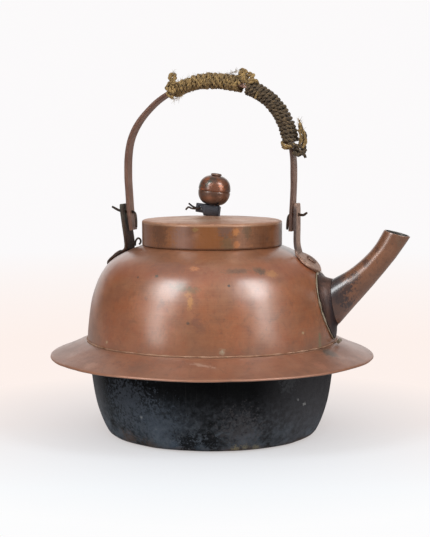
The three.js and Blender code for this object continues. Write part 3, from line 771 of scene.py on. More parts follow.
def ring_of_solder(name, path, radius, finish_used, sides=8, closed=True):
    """An uneven bead along a path of points."""
    path = [Vector(p) for p in path]
    count = len(path)
    points = []
    for i, p in enumerate(path):
        ahead = path[(i + 1) % count] if closed else path[min(i + 1, count - 1)]
        behind = path[i - 1] if closed or i else path[0]
        t = (ahead - behind).normalized()
        out = Vector((p.x, p.y, 0)).normalized()
        side = t.cross(out).normalized()
        out = side.cross(t)
        swell = radius * (0.9 + 0.7 * noise.noise(p * 160))
        for j in range(sides):
            a = 2 * math.pi * j / sides
            points.append(p + (out * math.cos(a) + side * math.sin(a)) * swell)
    return piece(name, points, wrapped(count, sides, closed), finish_used)


seam_turns = np.linspace(0, 2 * math.pi, 360, endpoint=False)
seam_path = [(108.5 * MM * math.cos(a), 108.5 * MM * math.sin(a), 81.9 * MM) for a in seam_turns]
seam = ring_of_solder("brim_solder_seam", seam_path, 0.75 * MM, wiped_solder)
for v in seam.data.vertices:
    v.co += noise.noise_vector(v.co * 34) * 0.0004 + noise.noise_vector(v.co * 90) * 0.0004 / 3
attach(seam, "kettle")


# ---- neck collar ------------------------------------------------------------------------------
# The upright ring inside the mouth that the lid slides over: a copper band soldered on the crown
# of the dome, brighter than the rest because the lid covers it.


def inner_copper(tree, place):
    colour, rough, height, _ = copper_layers(tree, place, rgb(196, 128, 92), rgb(178, 108, 76),
        rgb(128, 80, 60), rgb(214, 158, 128), shift=41.0)
    return colour, rough, height, 0.0002


neck_finish = finish("neck_copper", inner_copper, Metallic=0.8)
neck_outline = np.array([[57.5, 175.7], [57.5, 160.4], [58.3, 159.9], [62.2, 158.35],
    [62.6, 158.6], [62.5, 159.4], [59.4, 160.7], [58.7, 161.6], [58.7, 168], [58.7, 175.4],
    [58.5, 175.9], [58.1, 176.1], [57.7, 176]]) * MM
neck = piece("neck_collar_ring", *turned(neck_outline, 140), neck_finish, uneven=0.0001)
line_inside(neck, tin_lining)
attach(neck, "kettle")
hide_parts("neck_collar")


# ---- spout ------------------------------------------------------------------------------------
# A tapering tube rolled from sheet copper with a seam brazed along its belly, bent outwards and
# cut level at the mouth. It is the most handled and heated part, so its tarnish is blotchy.
SPOUT_TOP = [[107.5, 136.3], [119.5, 143.3], [132.5, 154], [142.7, 165.4], [150.4, 178.6]]
SPOUT_UNDER = [[113, 98.5], [129.3, 117.6], [145.5, 136.6], [159.6, 154.4], [171.9, 173]]
SPOUT_HALF_WIDTH = [15.5, 12.4, 11.3, 10.9, 10.7]
SPOUT_WALL = 1.3
SPOUT_SIDES = 72
SPOUT_ROWS = 70
spout_top = smooth_line(SPOUT_TOP, SPOUT_ROWS + 1)
spout_under = smooth_line(SPOUT_UNDER, SPOUT_ROWS + 1)


def spout_ring(row, inward, sides=SPOUT_SIDES):
    """One ring of the spout, moved inwards by a share of its wall."""
    middle = (spout_top[row] + spout_under[row]) / 2
    up = (spout_top[row] - spout_under[row]) / 2
    up = up * (1 - inward * 1.1 / np.linalg.norm(up))
    half = np.interp(row / SPOUT_ROWS, np.linspace(0, 1, 5), SPOUT_HALF_WIDTH) - inward
    a = np.arange(sides) * 2 * math.pi / sides
    return np.stack([middle[0] + up[0] * np.cos(a), half * np.sin(a),
        middle[1] + up[1] * np.cos(a)], axis=1) * MM


def tube_wall(rings):
    """Points and faces of rings joined in a loop: out along one face and back along the other."""
    return np.vstack(rings), wrapped(len(rings), len(rings[0]), closed=True)


def spout_copper(tree, place):
    """Brown copper with near-black scorching at the root and pinker metal where it is rubbed."""
    colour, rough, _, seen = copper_layers(tree, place, rgb(150, 94, 60), rgb(124, 78, 50),
        rgb(66, 42, 34), rgb(160, 112, 84), shift=51.0, size=0.022)
    x = axis(place, 0)
    root = fade(x, 0.146, 0.112)
    ragged = plus(times(seen["aged"]["Blotches"], 0.6), times(seen["fine"]["Clouds"], 0.5))
    colour = wash(colour, (50, 34, 32), root, ragged)
    z = axis(place, 2)
    blued = times(fade(x, 0.123, 0.113), fade(z, 0.106, 0.128, 0.35, 0.9))
    colour = wash(colour, (42, 38, 44), blued)
    for at, width, strength in [
        ((0.1215, -0.012, 0.131), 0.0070, 0.8), ((0.128, -0.011, 0.139), 0.0055, 0.7),
        ((0.124, -0.011, 0.116), 0.0065, 0.8), ((0.118, -0.013, 0.121), 0.0060, 0.8),
        ((0.137, -0.009, 0.152), 0.0045, 0.6), ((0.146, -0.009, 0.163), 0.0035, 0.5),
    ]:
        scorch = group(mark, Place=place, Centre=at, Width=width, Ragged=0.7)
        colour = wash(colour, (52, 34, 34), scorch["Mark"], strength)
    lip = times(fade(x, 0.16, 0.166), seen["fine"]["Clouds"])
    colour = wash(colour, (108, 96, 76), lip, 0.4)
    rough = plus(rough, times(root, 0.08))
    return colour, rough, seen["aged"]["Clouds"], 0.00003


spout_finish = finish("spout_copper", spout_copper, Metallic=0.15, Specular_IOR_Level=0.2,
    Coat_Weight=1.0, Coat_Roughness=0.26, Coat_IOR=1.8)
outer = [spout_ring(i, 0) for i in range(SPOUT_ROWS + 1)]
lip_edge = [spout_ring(SPOUT_ROWS, 0.25), spout_ring(SPOUT_ROWS, SPOUT_WALL - 0.25)]
for ring_points in lip_edge:
    ring_points[:, 0] += 0.22 * MM
    ring_points[:, 2] += 0.3 * MM
inner = [spout_ring(i, SPOUT_WALL) for i in range(SPOUT_ROWS, -1, -1)]
spout = piece("pouring_spout", *tube_wall(outer + lip_edge + inner), spout_finish, tin_lining,
    uneven=0.0003)
spout_middle = (spout_top + spout_under) / 2 * MM
for f in spout.data.polygons:
    nearest = spout_middle[np.argmin(np.hypot(spout_middle[:, 0] - f.center.x,
        spout_middle[:, 1] - f.center.z))]
    away = f.center - Vector((nearest[0], 0, nearest[1]))
    if away.dot(f.normal) < -1e-3 * away.length:
        f.material_index = 1
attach(spout, "kettle")
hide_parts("spout")


# ---- spout flange -----------------------------------------------------------------------------
# The spout's foot is beaten out like a trumpet into an egg-shaped plate that lies on the dome,
# sweated all round. Its hollow keeps a blue-black patina, its rim a pale line of solder.
FLANGE = {"middle": 117, "up": 24, "down": 31, "half": 23}
FLARE = [[0, 0], [0.15, 0.012], [0.3, 0.04], [0.6, 0.24], [0.84, 0.58], [1, 1]]
GAP = 0.35
FLANGE_ROWS = 34
flare_line = smooth_line(FLARE, FLANGE_ROWS)


def flange_outline(a, inward):
    c = math.cos(a)
    down = max(0, -c)
    y = (FLANGE["half"] - inward) * math.sin(a) * (1 - 0.42 * down * down)
    z = FLANGE["middle"] + c * ((FLANGE["up"] if c > 0 else FLANGE["down"]) - inward)
    return y, z


def dome_radius(z):
    return np.interp(z, dome_line[:, 1], dome_line[:, 0])


def flange_ring(along, rise, lift, inward):
    """One ring between the plate's outline on the dome and the foot of the spout."""
    points = []
    for j, p in enumerate(spout_ring(0, inward) / MM):
        y, z = flange_outline(2 * math.pi * j / SPOUT_SIDES, inward)
        y, z = y + (p[1] - y) * along, z + (p[2] - z) * along
        on = math.sqrt(dome_radius(z) ** 2 - y * y)
        reach = p[0] - GAP - math.sqrt(dome_radius(p[2]) ** 2 - p[1] ** 2) - lift
        points.append(Vector((on + lift + rise * reach, y, z)) * MM)
    return points


def flange_copper(tree, place):
    aged = clouds(place, 0.016, 61.0)
    x = axis(place, 0)
    colour = wash(rgb(104, 74, 62), (74, 56, 52), aged["Clouds"])
    colour = wash(colour, (56, 44, 42), aged["Blotches"], 0.7)
    hollow = fade(x, 0.1065, 0.1105)
    colour = wash(colour, (40, 38, 48), hollow, 0.75)
    colour = wash(colour, (140, 120, 100), aged["Specks"], 0.5)
    rough = fade(aged["Grain"], 0.3, 0.7, 0.34, 0.52)
    height = plus(aged["Grain"], times(aged["Blotches"], 0.4))
    return colour, rough, height, 0.0003


flange_finish = finish("flange_old_copper", flange_copper, Metallic=0.6, Coat_Weight=0.2,
    Coat_Roughness=0.3)
flange_rings = [flange_ring(a, r, GAP + 1.5, 0) for a, r in flare_line]
flange_rings += [flange_ring(a, r, GAP + 0.1, SPOUT_WALL) for a, r in flare_line[::-1]]
flange = piece("spout_flange_plate", *tube_wall(flange_rings), flange_finish, uneven=0.0003)
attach(flange, "kettle")
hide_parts("spout_flange")

flange_edge = []
for a in np.linspace(0, 2 * math.pi, 220, endpoint=False):
    y, z = flange_outline(a, -0.5)
    on = math.sqrt(dome_radius(z) ** 2 - y * y) + 0.7
    flange_edge.append((on * MM, y * MM, z * MM))
flange_bead = ring_of_solder("flange_solder_bead", flange_edge, 0.82 * MM, green_solder)
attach(flange_bead, "kettle")

# the blob of solder where the plate's point meets the brim
blob_path = [(113.5 * MM, y * MM, (84.3 - abs(y) * 0.12) * MM) for y in np.linspace(-5, 4, 14)]
blob = ring_of_solder("flange_solder_blob", blob_path, 1.5 * MM, green_solder, closed=False)
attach(blob, "kettle")


# ---- ears -------------------------------------------------------------------------------------
# The two ears that carry the handle. Each is one strip: a leaf-shaped foot hammered to the
# shoulder under one flat rivet, and an upright with a drilled hole. The ear on the spout side is
# copper, the other is a black iron replacement that leans outwards.
EAR_THICK = 2.4
PIN_Z = 190
PIN_HOLE = 1.7
FOOT_ROWS = [141, 144.5, 148, 151, 153.6, 155]


def foot_line(heights):
    """Middle line of the foot: off the dome by a gap and half the strip's thickness."""
    rows = []
    for z in heights:
        slope = dome_radius(z + 0.5) - dome_radius(z - 0.5)
        off = GAP + 0.25 + EAR_THICK / 2
        rows.append([dome_radius(z) + off / math.hypot(1, slope), z - off * slope / math.hypot(1,
            slope)])
    return rows


def ear_strip(name, line, half_widths, finish_used, turn):
    """An ear as a strip with rounded edges, drilled for the pin and turned to its side."""
    rows = 120
    path = smooth_line(line, rows)
    along = directions(path)
    out = np.stack([-along[:, 1], along[:, 0]], axis=1)
    half = np.interp(np.linspace(0, 1, rows), np.linspace(0, 1, len(half_widths)), half_widths)
    half = np.convolve(np.pad(half, 3, mode="edge"), np.ones(7) / 7, mode="valid")
    # across the strip: flat face, rounded edge, flat back, rounded edge
    across = [(c, 1.0) for c in np.linspace(-0.94, 0.94, 15)] + [(1, 0.45), (1, -0.45)]
    across += [(-c, -s) for c, s in across]
    points = []
    for i in range(rows):
        end = min(1.0, min(i, rows - 1 - i) / 2 + 0.45)
        curl = min(max((166 - path[i][1]) / 8, 0), 1)
        for c, s in across:
            r = path[i][0] + s * end * EAR_THICK * out[i][0] / 2
            z = path[i][1] + s * end * EAR_THICK * out[i][1] / 2
            y = c * half[i]
            x_turned = r * math.cos(y / r * curl)
            points.append(Vector((x_turned, y + (r * math.sin(y / r) - y) * curl, z)) * MM)
    made = piece(name, points, wrapped(rows, len(across)), finish_used, uneven=0.0002, sharp=50)
    drill(made, (60, 0, PIN_Z), (97, 0, PIN_Z), PIN_HOLE)
    made.data.transform(Matrix.Rotation(math.radians(turn), 4, "Z"))
    return made


def drill(made, start, end, radius):
    """Cuts a round hole through a piece, from start to end."""
    start, end = Vector(start) * MM, Vector(end) * MM
    bit_mesh = bpy.data.meshes.new("bit")
    b = bmesh.new()
    towards = (end - start).to_track_quat("Z", "Y").to_matrix().to_4x4()
    bmesh.ops.create_cone(b, cap_ends=True, segments=28, radius1=radius * MM, radius2=radius * MM,
        depth=(end - start).length, matrix=Matrix.Translation((start + end) / 2) @ towards)
    b.to_mesh(bit_mesh)
    b.free()
    bit = put("bit", bit_mesh)
    cut = made.modifiers.new("hole", "BOOLEAN")
    cut.operation, cut.solver, cut.object = "DIFFERENCE", "EXACT", bit
    keep_plain(made)
    bpy.data.objects.remove(bit)


def ear_copper(tree, place):
    """Pinkish worn copper, blue-black down its edges and darker at the bend."""
    aged = clouds(place, 0.011, 71.0)
    edge = clouds(place, 0.006, 74.0)
    y = axis(place, 1)
    z = axis(place, 2)
    wide = maths("ABSOLUTE", y).outputs[0]
    colour = wash(rgb(216, 180, 160), (182, 144, 124), aged["Clouds"])
    colour = wash(colour, (92, 66, 56), edge["Blotches"], 0.7)
    side = times(fade(wide, 0.0055, 0.0078), fade(z, 0.157, 0.162))
    colour = wash(colour, (48, 50, 58), side, 0.85)
    bend = times(fade(z, 0.1665, 0.16), fade(z, 0.1545, 0.158))
    colour = wash(colour, (86, 70, 64), bend, 0.5)
    rough = fade(edge["Grain"], 0.3, 0.7, 0.36, 0.55)
    return colour, rough, edge["Grain"], 0.0003


def ear_iron(tree, place):
    """Black iron going brown, with grey-green bloom above and pale verdigris at the pin."""
    aged = clouds(place, 0.012, 81.0)
    fine = clouds(place, 0.005, 85.0)
    z = axis(place, 2)
    colour = wash(rgb(76, 64, 58), (104, 76, 60), aged["Clouds"])
    bloom = times(fade(z, 0.166, 0.182), fine["Clouds"])
    colour = wash(colour, (106, 108, 96), bloom, 0.6)
    colour = wash(colour, (34, 30, 30), fine["Blotches"], 0.6)
    spot = group(mark, Place=place, Centre=(-0.0795, 0, 0.19), Width=0.0052, Ragged=0.9)
    colour = wash(colour, (150, 152, 132), spot["Mark"], 0.7)
    rough = fade(fine["Grain"], 0.3, 0.7, 0.42, 0.66)
    height = plus(fine["Grain"], times(fine["Blotches"], 0.5))
    return colour, rough, height, 0.0004


ear_copper_finish = finish("ear_worn_copper", ear_copper, Metallic=0.55)
ear_iron_finish = finish("ear_black_iron", ear_iron, Metallic=0.55)
ear_spout = ear_strip("ear_strip_spout_side", foot_line(FOOT_ROWS) + [[77.2, 160], [75.95, 165],
    [75.85, 182], [75.85, 199.6]], [3, 13, 17.2, 17.6, 14.5, 9.5, 7.6, 7.5, 7.5, 7.5, 7.5, 7.5,
    7.5, 7.5, 7.5, 6.2], ear_copper_finish, 0)
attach(ear_spout, "kettle")
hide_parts("ear_spout_side")
ear_far = ear_strip("ear_strip_far_side", foot_line(FOOT_ROWS) + [[76.8, 160], [76.9, 166],
    [79.1, 180], [81.6, 197]], [3, 13, 17.2, 17.6, 14.5, 11.5, 10.4, 10.2, 10, 9.9, 9.8, 9.7, 9.6,
    9.6, 9.6, 8.2], ear_iron_finish, 180)
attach(ear_far, "kettle")
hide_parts("ear_far_side")


# ---- foot rivets ------------------------------------------------------------------------------
# One flat-headed copper rivet through the foot of each ear, hammered down and cracked at its rim.
RIVET_Z = 149.6
rivet_heads, given, out = start_tree("foot_rivets", ["From Axis", "Height", "Lean"], "Head",
    "Rivets", ["Count"])
spout_side = together(given["From Axis"], 0, given["Height"])
far_side = together(times(given["From Axis"], -1.0), 0, given["Height"])
places = geo(rivet_heads, "MeshLine", {"Count": given["Count"], "Start Location": spout_side,
    "Offset": far_side}, mode="END_POINTS")
here = geo(rivet_heads, "InputPosition")
apart = add(rivet_heads, "ShaderNodeSeparateXYZ", {0: here})
turn_about = maths("ARCTAN2", apart.outputs[1], apart)
facing = together(0, given["Lean"], turn_about)
heads = geo(rivet_heads, "InstanceOnPoints", {"Points": places, "Instance": given["Head"],
    "Rotation": facing})
close_tree(rivet_heads, given, out, heads, soft=False)


def rivet_copper(tree, place):
    aged = clouds(place, 0.004, 91.0)
    colour = wash(rgb(164, 132, 116), (118, 88, 74), aged["Clouds"])
    colour = wash(colour, (58, 44, 40), aged["Blotches"], 0.8)
    rough = fade(aged["Grain"], 0.3, 0.7, 0.34, 0.52)
    return colour, rough, aged["Grain"], 0.0003


rivet_finish = finish("rivet_copper", rivet_copper, Metallic=0.65)
shoulder_slope = (dome_radius(RIVET_Z + 2) - dome_radius(RIVET_Z - 2)) / 4
rivet_lean = math.atan2(1, -shoulder_slope)
seat_r, seat_z = foot_line([RIVET_Z])[0]
seat_off = EAR_THICK / 2 + GAP
head_outline = np.vstack([[[0, 0], [2.5, 0]], smooth_line([[4.7, 0], [5.15, 0.3], [5.0, 0.8],
    [4.2, 1.2], [2.6, 1.5], [1.2, 1.62]], 14), [[0, 1.65]]]) * MM
rivets = piece("ear_foot_rivets", *turned(head_outline, 40), rivet_finish)
run_nodes(rivets, rivet_heads, {"From Axis": (seat_r + seat_off * math.sin(rivet_lean)) * MM,
    "Height": (seat_z + seat_off * math.cos(rivet_lean)) * MM, "Lean": rivet_lean, "Count": 2,
    "Finish": rivet_finish})
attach(rivets, "kettle")
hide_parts("rivet_spout_side", "rivet_far_side")


# ---- hinge pins and chain eye -----------------------------------------------------------------
# Bits of iron wire bent through the ears for hinge pins: hooked over inside and left long
# outside. By the far ear a small wire eye still waits for a lid chain.
def round_wire(name, path, radius, finish_used, count=60, sides=12, taper=0.0):
    """Wire bent along points, its ends nipped off, with an optional taper at both ends."""
    line = smooth_line(path, count)
    return tube_along(name, line, [radius * (1 - taper * abs(2 * i / (count - 1) - 1) ** 6)
        for i in range(count)], finish_used, sides)


def tube_along(name, line, radii, finish_used, sides=12):
    """A round tube along points in millimetres, with a radius at each and domed ends."""
    line = [Vector(p) for p in line]
    last = len(line) - 1
    tangents = [(line[min(i + 1, last)] - line[max(i - 1, 0)]).normalized()
        for i in range(last + 1)]
    side = tangents[0].orthogonal().normalized()
    rings, points = [], []
    for i, (p, t) in enumerate(zip(line, tangents)):
        side = (side - t * side.dot(t)).normalized()
        rings.append((p, t, side, t.cross(side), radii[i]))
    start, end = rings[0], rings[-1]
    rings = [(start[0] - start[1] * start[4] * 0.35, *start[1:4], start[4] * 0.6)] + rings
    rings.append((end[0] + end[1] * end[4] * 0.35, *end[1:4], end[4] * 0.6))
    for p, t, u, v, r in rings:
        for j in range(sides):
            a = 2 * math.pi * j / sides
            points.append((p + (u * math.cos(a) + v * math.sin(a)) * r) * MM)
    return piece(name, points, wrapped(len(rings), sides), finish_used, sharp=60)


def wire_iron(tree, place):
    aged = clouds(place, 0.006, 101.0)
    colour = wash(rgb(44, 40, 40), (82, 64, 52), aged["Clouds"])
    colour = wash(colour, (112, 92, 76), aged["Blotches"], 0.7)
    rough = fade(aged["Grain"], 0.3, 0.7, 0.4, 0.65)
    return colour, rough, aged["Grain"], 0.0003


wire_finish = finish("iron_wire", wire_iron, Metallic=0.6)
pin_spout = round_wire("hinge_pin_spout_side", [[67.6, -1.6, 177.5], [67.8, -0.8, 184],
    [68.6, -0.1, 188.6], [70.4, 0, PIN_Z], [74, 0, PIN_Z], [77.6, 0, PIN_Z], [81.4, -0.5, 189.8],
    [84.6, -1, 191.8]], 1.15, wire_finish, taper=0.2)
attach(pin_spout, "kettle")
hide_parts("pin_spout_side")
pin_far = round_wire("hinge_pin_far_side", [[-69.3, -2, 176.5], [-69.8, -1.4, 183],
    [-71.2, -0.3, 188.4], [-73.4, 0, PIN_Z], [-77.5, 0, PIN_Z], [-82, 0, PIN_Z],
    [-86.5, -0.5, 191.2], [-92.4, -1, 194.2]], 1.15, wire_finish, taper=0.2)
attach(pin_far, "kettle")
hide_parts("pin_far_side")
eye = round_wire("lid_chain_eye", [[-70.6, -1.6, 160.4], [-70.6, -1.4, 162.6], [-69.8, -1, 165.4],
    [-68, -0.6, 166.8], [-66.2, -0.2, 165.4], [-66.3, 0.4, 163], [-67.8, 1.2, 161.4]], 0.85,
    wire_finish, sides=10)
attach(eye, "kettle")
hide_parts("chain_eye")


# ---- lid band ---------------------------------------------------------------------------------
# The side of the cap lid: a straight band of copper seamed at the back, wiped up and down, which
# slides over the neck. Heat has left it orange, brown and purple in patches.
LID_RADIUS = 60.5
LID_BOTTOM = 163.5
LID_SHOULDER = 182.6


def on_lid(turn, height):
    a = math.radians(turn)
    return (LID_RADIUS * MM * math.cos(a), LID_RADIUS * MM * math.sin(a), height * MM)


def band_copper(tree, place):
    colour, rough, height, seen = copper_layers(tree, place, rgb(158, 92, 42), rgb(118, 70, 38),
        rgb(76, 46, 30), rgb(170, 116, 78), shift=121.0, lines=900.0, size=0.026)
    down = fade(seen["wiped"]["Upright"], 0.38, 0.68)
    colour = wash(colour, (176, 122, 84), down, 0.28)
    colour = marks(place, colour, 0.5, on_lid, [
        (-94, 171, 0.013, (134, 100, 92), 0.5, (1, 1, 0.8)),  # purple-grey cloud
        (-118, 176, 0.010, (104, 66, 46), 0.6, (1, 1, 0.6)),
        (-76, 170, 0.013, (164, 98, 44), 0.5, (1, 1, 0.6)),
        (-53, 177.5, 0.0034, (204, 130, 66), 0.75),  # orange spots
        (-52, 166.8, 0.0036, (200, 122, 64), 0.7),
        (-60, 167, 0.0060, (116, 102, 72), 0.45, (1, 1, 0.8)),  # grey-green
        (-62, 179.5, 0.0065, (112, 96, 92), 0.5),
        (-30, 174, 0.012, (104, 62, 38), 0.35, (1, 1, 0.6)),
        (-43, 178, 0.005, (96, 76, 44), 0.5, (1, 1, 0.8)),
        (-137, 172, 0.010, (150, 92, 62), 0.5, (1, 1, 0.6)),
        (-85.5, 179.5, 0.0032, (176, 138, 82), 0.6, (1, 1, 1.6)),
    ])
    z = axis(place, 2)
    # painted highlight: a pale line along the band's rounded top edge
    rim = times(fade(z, 0.1812, 0.1824), fade(seen["fine"]["Grain"], 0.35, 0.6))
    colour = wash(colour, (226, 176, 142), rim, 0.7)
    hem = fade(z, 0.1648, 0.1636)
    colour = wash(colour, (84, 52, 36), hem, 0.5)
    return colour, rough, height, 0.0002


band_finish = finish("lid_band_copper", band_copper, Metallic=0.35, Coat_Weight=0.8,
    Coat_Roughness=0.27, Coat_IOR=1.5)
band_line = [[LID_RADIUS, z] for z in np.linspace(LID_BOTTOM, LID_SHOULDER, 26)]
band = piece("lid_side_band", *turned(sheet_outline(band_line, 1.1) * MM, 170), band_finish,
    uneven=0.00022)
dent = Vector(on_lid(-86, 176.5))
for v in band.data.vertices:
    near = math.exp(-((v.co - dent).length / 0.0038) ** 2)
    v.co -= Vector((v.co.x, v.co.y, 0)).normalized() * near * 0.0007
line_inside(band, tin_lining)
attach(band, "lid")
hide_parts("lid_band")


# ---- lid top ----------------------------------------------------------------------------------
# The disc of the lid, a little domed, with a rounded shoulder folded over the band and a hole in
# the middle for the knob's rivet. Wiping has kept it paler and pinker than the sides.


def top_copper(tree, place):
    colour, rough, height, seen = copper_layers(tree, place, rgb(212, 152, 118), rgb(184, 126, 96),
        rgb(130, 88, 66), rgb(222, 178, 146), shift=141.0, lines=1100.0, size=0.024)
    cream = fade(seen["wiped"]["Round"], 0.52, 0.7)
    colour = wash(colour, (222, 192, 168), cream, 0.35)
    for x, y, width, stretch in [
        (-24, -16, 0.011, (0.6, 1.6, 1)), (6, -34, 0.014, (1.0, 1.0, 1)),
        (34, -22, 0.012, (0.7, 1.4, 1)), (-10, -40, 0.010, (0.7, 1.2, 1)),
    ]:
        pale = group(mark, Place=place, Centre=(x * MM, y * MM, 0.1858), Width=width,
            Stretch=stretch, Ragged=0.6)
        colour = wash(colour, (226, 196, 172), pale["Mark"], 0.5)
    middle = vectors("MULTIPLY", place, (1, 1, 0))
    r = vectors("LENGTH", middle)
    near_knob = fade(r.outputs["Value"], 0.034, 0.017)
    rays = fade(seen["wiped"]["Upright"], 0.46, 0.6)
    colour = wash(colour, (232, 202, 176), near_knob, rays, 0.6)
    rough = plus(rough, 0.06)
    return colour, rough, height, 0.00022


top_finish = finish("lid_top_copper", top_copper, Metallic=0.5, Coat_Weight=0.25,
    Coat_Roughness=0.4, Coat_IOR=1.6)
crown = smooth_line([[3.6, 186.42], [22, 186.2], [42, 185.5], [52, 184.95], [57.6, 184.5],
    [59.3, 184.1], [60.2, 183.5], [60.5, 182.98]], 70)
top_outline = np.vstack([crown, [[59.0, 182.95], [59.0, 178.8], [58.8, 178.6], [58.1, 178.6],
    [57.9, 178.8], [57.9, 183], [54.6, 183.5]], smooth_line([[53, 183.75], [41.8, 184.4],
    [22, 185.1], [3.6, 185.3]], 30)]) * MM
lid_disc = piece("lid_top_disc", *turned(top_outline[::-1], 170), top_finish, uneven=0.00028)
line_inside(lid_disc, tin_lining, lambda c, n: n.z < -0.5)
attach(lid_disc, "lid")
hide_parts("lid_top")


# ---- knob seat --------------------------------------------------------------------------------
# A thin worn washer of copper between the lid and the knob's bracket.
seat_outline = np.vstack([[[3.6, 186.5], [12, 186.42], [18.4, 186.3]], smooth_line([[18.8, 186.33],
    [18.7, 186.45], [17.6, 186.7], [14, 187.2], [10.5, 187.62], [6, 187.85], [3.7, 187.9]],
    24)]) * MM
seat = piece("knob_seat_washer", *turned(seat_outline, 90), top_finish, uneven=0.0002)
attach(seat, "lid")
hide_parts("knob_seat")


# ---- knob -------------------------------------------------------------------------------------
# A hollow ball of two raised copper halves that meet at a dark seam, leaning towards the spout.
# The upper half is worn bright orange between patches of verdigris, the lower is brown, with
# painted shade that turns it near black underneath.
KNOB_BASE = Vector((-0.5, 0, 188))
KNOB_TILT = math.radians(7)
knob_lean = Matrix.Translation(KNOB_BASE * MM) @ Matrix.Rotation(KNOB_TILT, 4, "Y")


def knob_upper_copper(tree, place):
    aged = clouds(place, 0.0085, 151.0)
    fine = clouds(place, 0.003, 155.0)
    colour = wash(rgb(142, 88, 62), (88, 62, 50), aged["Clouds"])
    colour = wash(colour, (52, 40, 36), aged["Blotches"], 0.75)
    colour = marks(place, colour, 0.7, None, [((-0.0085, -0.0088, 0.2145), 0.0038, (72, 96, 88),
        0.6), ((-0.0112, -0.004, 0.213), 0.004, (76, 88, 76), 0.6), ((0.0018, -0.0104, 0.217),
        0.0036, (62, 78, 68), 0.9), ((0.0102, -0.0085, 0.212), 0.0036, (196, 112, 66), 0.7),
        ((-0.006, -0.0115, 0.2098), 0.0026, (190, 108, 66), 0.8), ((-0.0012, -0.009, 0.219), 0.003,
        (184, 102, 60), 0.7)])
    rough = plus(fade(aged["Clouds"], 0, 1, 0.22, 0.32), times(fine["Grain"], 0.1))
    return colour, rough, fine["Clouds"], 0.00012


def knob_lower_copper(tree, place):
    aged = clouds(place, 0.009, 161.0)
    fine = clouds(place, 0.003, 165.0)
    z = axis(place, 2)
    colour = wash(rgb(128, 86, 64), (92, 64, 50), aged["Clouds"])
    colour = wash(colour, (140, 94, 70), fine["Clouds"], 0.25)
    # painted shade: the ball goes near black towards its underside, over the bracket
    under = fade(z, 0.2045, 0.1985)
    colour = wash(colour, (34, 26, 24), under, 0.9)
    rough = plus(fade(aged["Clouds"], 0, 1, 0.26, 0.36), times(fine["Grain"], 0.1))
    return colour, rough, fine["Clouds"], 0.0001


knob_upper_finish = finish("knob_upper_copper", knob_upper_copper, Metallic=0.3, Coat_Weight=0.7,
    Coat_Roughness=0.2, Coat_IOR=1.6)
knob_lower_finish = finish("knob_lower_copper", knob_lower_copper, Metallic=0.45, Coat_Weight=0.8,
    Coat_Roughness=0.22, Coat_IOR=1.6)
half_below = smooth_line([[3.4, 9.4], [7.6, 10], [10.8, 12.3], [12.9, 15.8], [13.7, 19],
    [13.75, 21.0], [13.4, 21.5]], 40)
half_above = smooth_line([[13.4, 21.75], [13.75, 22.25], [13.65, 25], [12.5, 29], [9.8, 32.3],
    [6.2, 34.2], [3.4, 34.75]], 40)
knob_below = piece("knob_lower_half", *turned(sheet_outline(half_below, 1.2) * MM, 90),
    knob_lower_finish)
knob_below.data.transform(knob_lean)
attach(knob_below, "lid")
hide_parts("knob_lower")
knob_above = piece("knob_upper_half", *turned(sheet_outline(half_above, 1.2) * MM, 90),
    knob_upper_finish)
knob_above.data.transform(knob_lean)
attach(knob_above, "lid")
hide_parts("knob_upper")

# the long rivet that holds lid, bracket and ball together, hammered flat on top
rivet_outline = np.vstack([[[0, -6], [2, -6], [4.6, -6], [5.2, -5.8], [5.4, -5.2], [5.2, -4.4],
    [4.6, -4.1], [2.6, -3.9], [2.6, 0], [2.6, 12], [2.6, 24], [2.6, 34.9], [4.2, 34.9],
    [4.6, 35.1]], smooth_line([[4.7, 35.4], [4.55, 35.9], [3.9, 36.35], [2.4, 36.6], [1, 36.7]],
    12), [[0, 36.72]]]) * MM
knob_rivet = piece("knob_long_rivet", *turned(rivet_outline, 48), rivet_finish, uneven=0.0002)
knob_rivet.data.transform(knob_lean)
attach(knob_rivet, "lid")
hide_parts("knob_rivet")


# ---- knob bracket -----------------------------------------------------------------------------
# A strip of black iron bent round the knob's foot. One end flares away, the other folds back as a
# lug with a hole, where the lid's chain was hooked.
BRACKET_PLAN = [[9.6, -8.4], [8.2, -6.2], [4.5, -5.3], [-3, -5.2], [-9, -5.1], [-12.2, -4.6],
    [-13.2, -3.1], [-12.2, -1.7], [-9.2, -1.3], [-6.6, -0.6], [-5.2, 2], [-3.2, 4.6], [0, 5.5],
    [3.4, 4.4], [5.3, 1.6]]


def bracket_iron(tree, place):
    aged = clouds(place, 0.008, 171.0)
    colour = wash(rgb(40, 43, 50), (58, 60, 68), aged["Clouds"])
    colour = wash(colour, (34, 34, 38), aged["Blotches"], 0.6)
    wear_and_sheen = add(tree, "ShaderNodeNewGeometry").outputs["Pointiness"]
    colour = wash(colour, (112, 112, 118), fade(wear_and_sheen, 0.53, 0.6), 0.6)
    rough = fade(aged["Grain"], 0.3, 0.7, 0.36, 0.6)
    return colour, rough, aged["Grain"], 0.0003


bracket_finish = finish("bracket_iron", bracket_iron, Metallic=0.6)


def edgewise_strip(name, plan, thick, foot, high, finish_used, count=110):
    """A strip that stands on its edge along a plan, with eased edges. The foot gives its lower
    edge for each X."""
    line = smooth_line(plan, count)
    along = directions(line)
    out = np.stack([-along[:, 1], along[:, 0]], axis=1)
    ease = 0.22
    points = []
    for (x, y), (out_x, out_y) in zip(line, out):
        low = foot(x)
        section = [(0.5 - ease / thick, low), (0.5, low + ease), (0.5, high - ease),
            (0.5 - ease / thick, high), (ease / thick - 0.5, high), (-0.5, high - ease),
            (-0.5, low + ease), (ease / thick - 0.5, low)]
        points += [Vector((x + out_x * s * thick, y + out_y * s * thick, z)) * MM for s,
            z in section]
    return piece(name, points, wrapped(count, len(section)), finish_used, sharp=50)


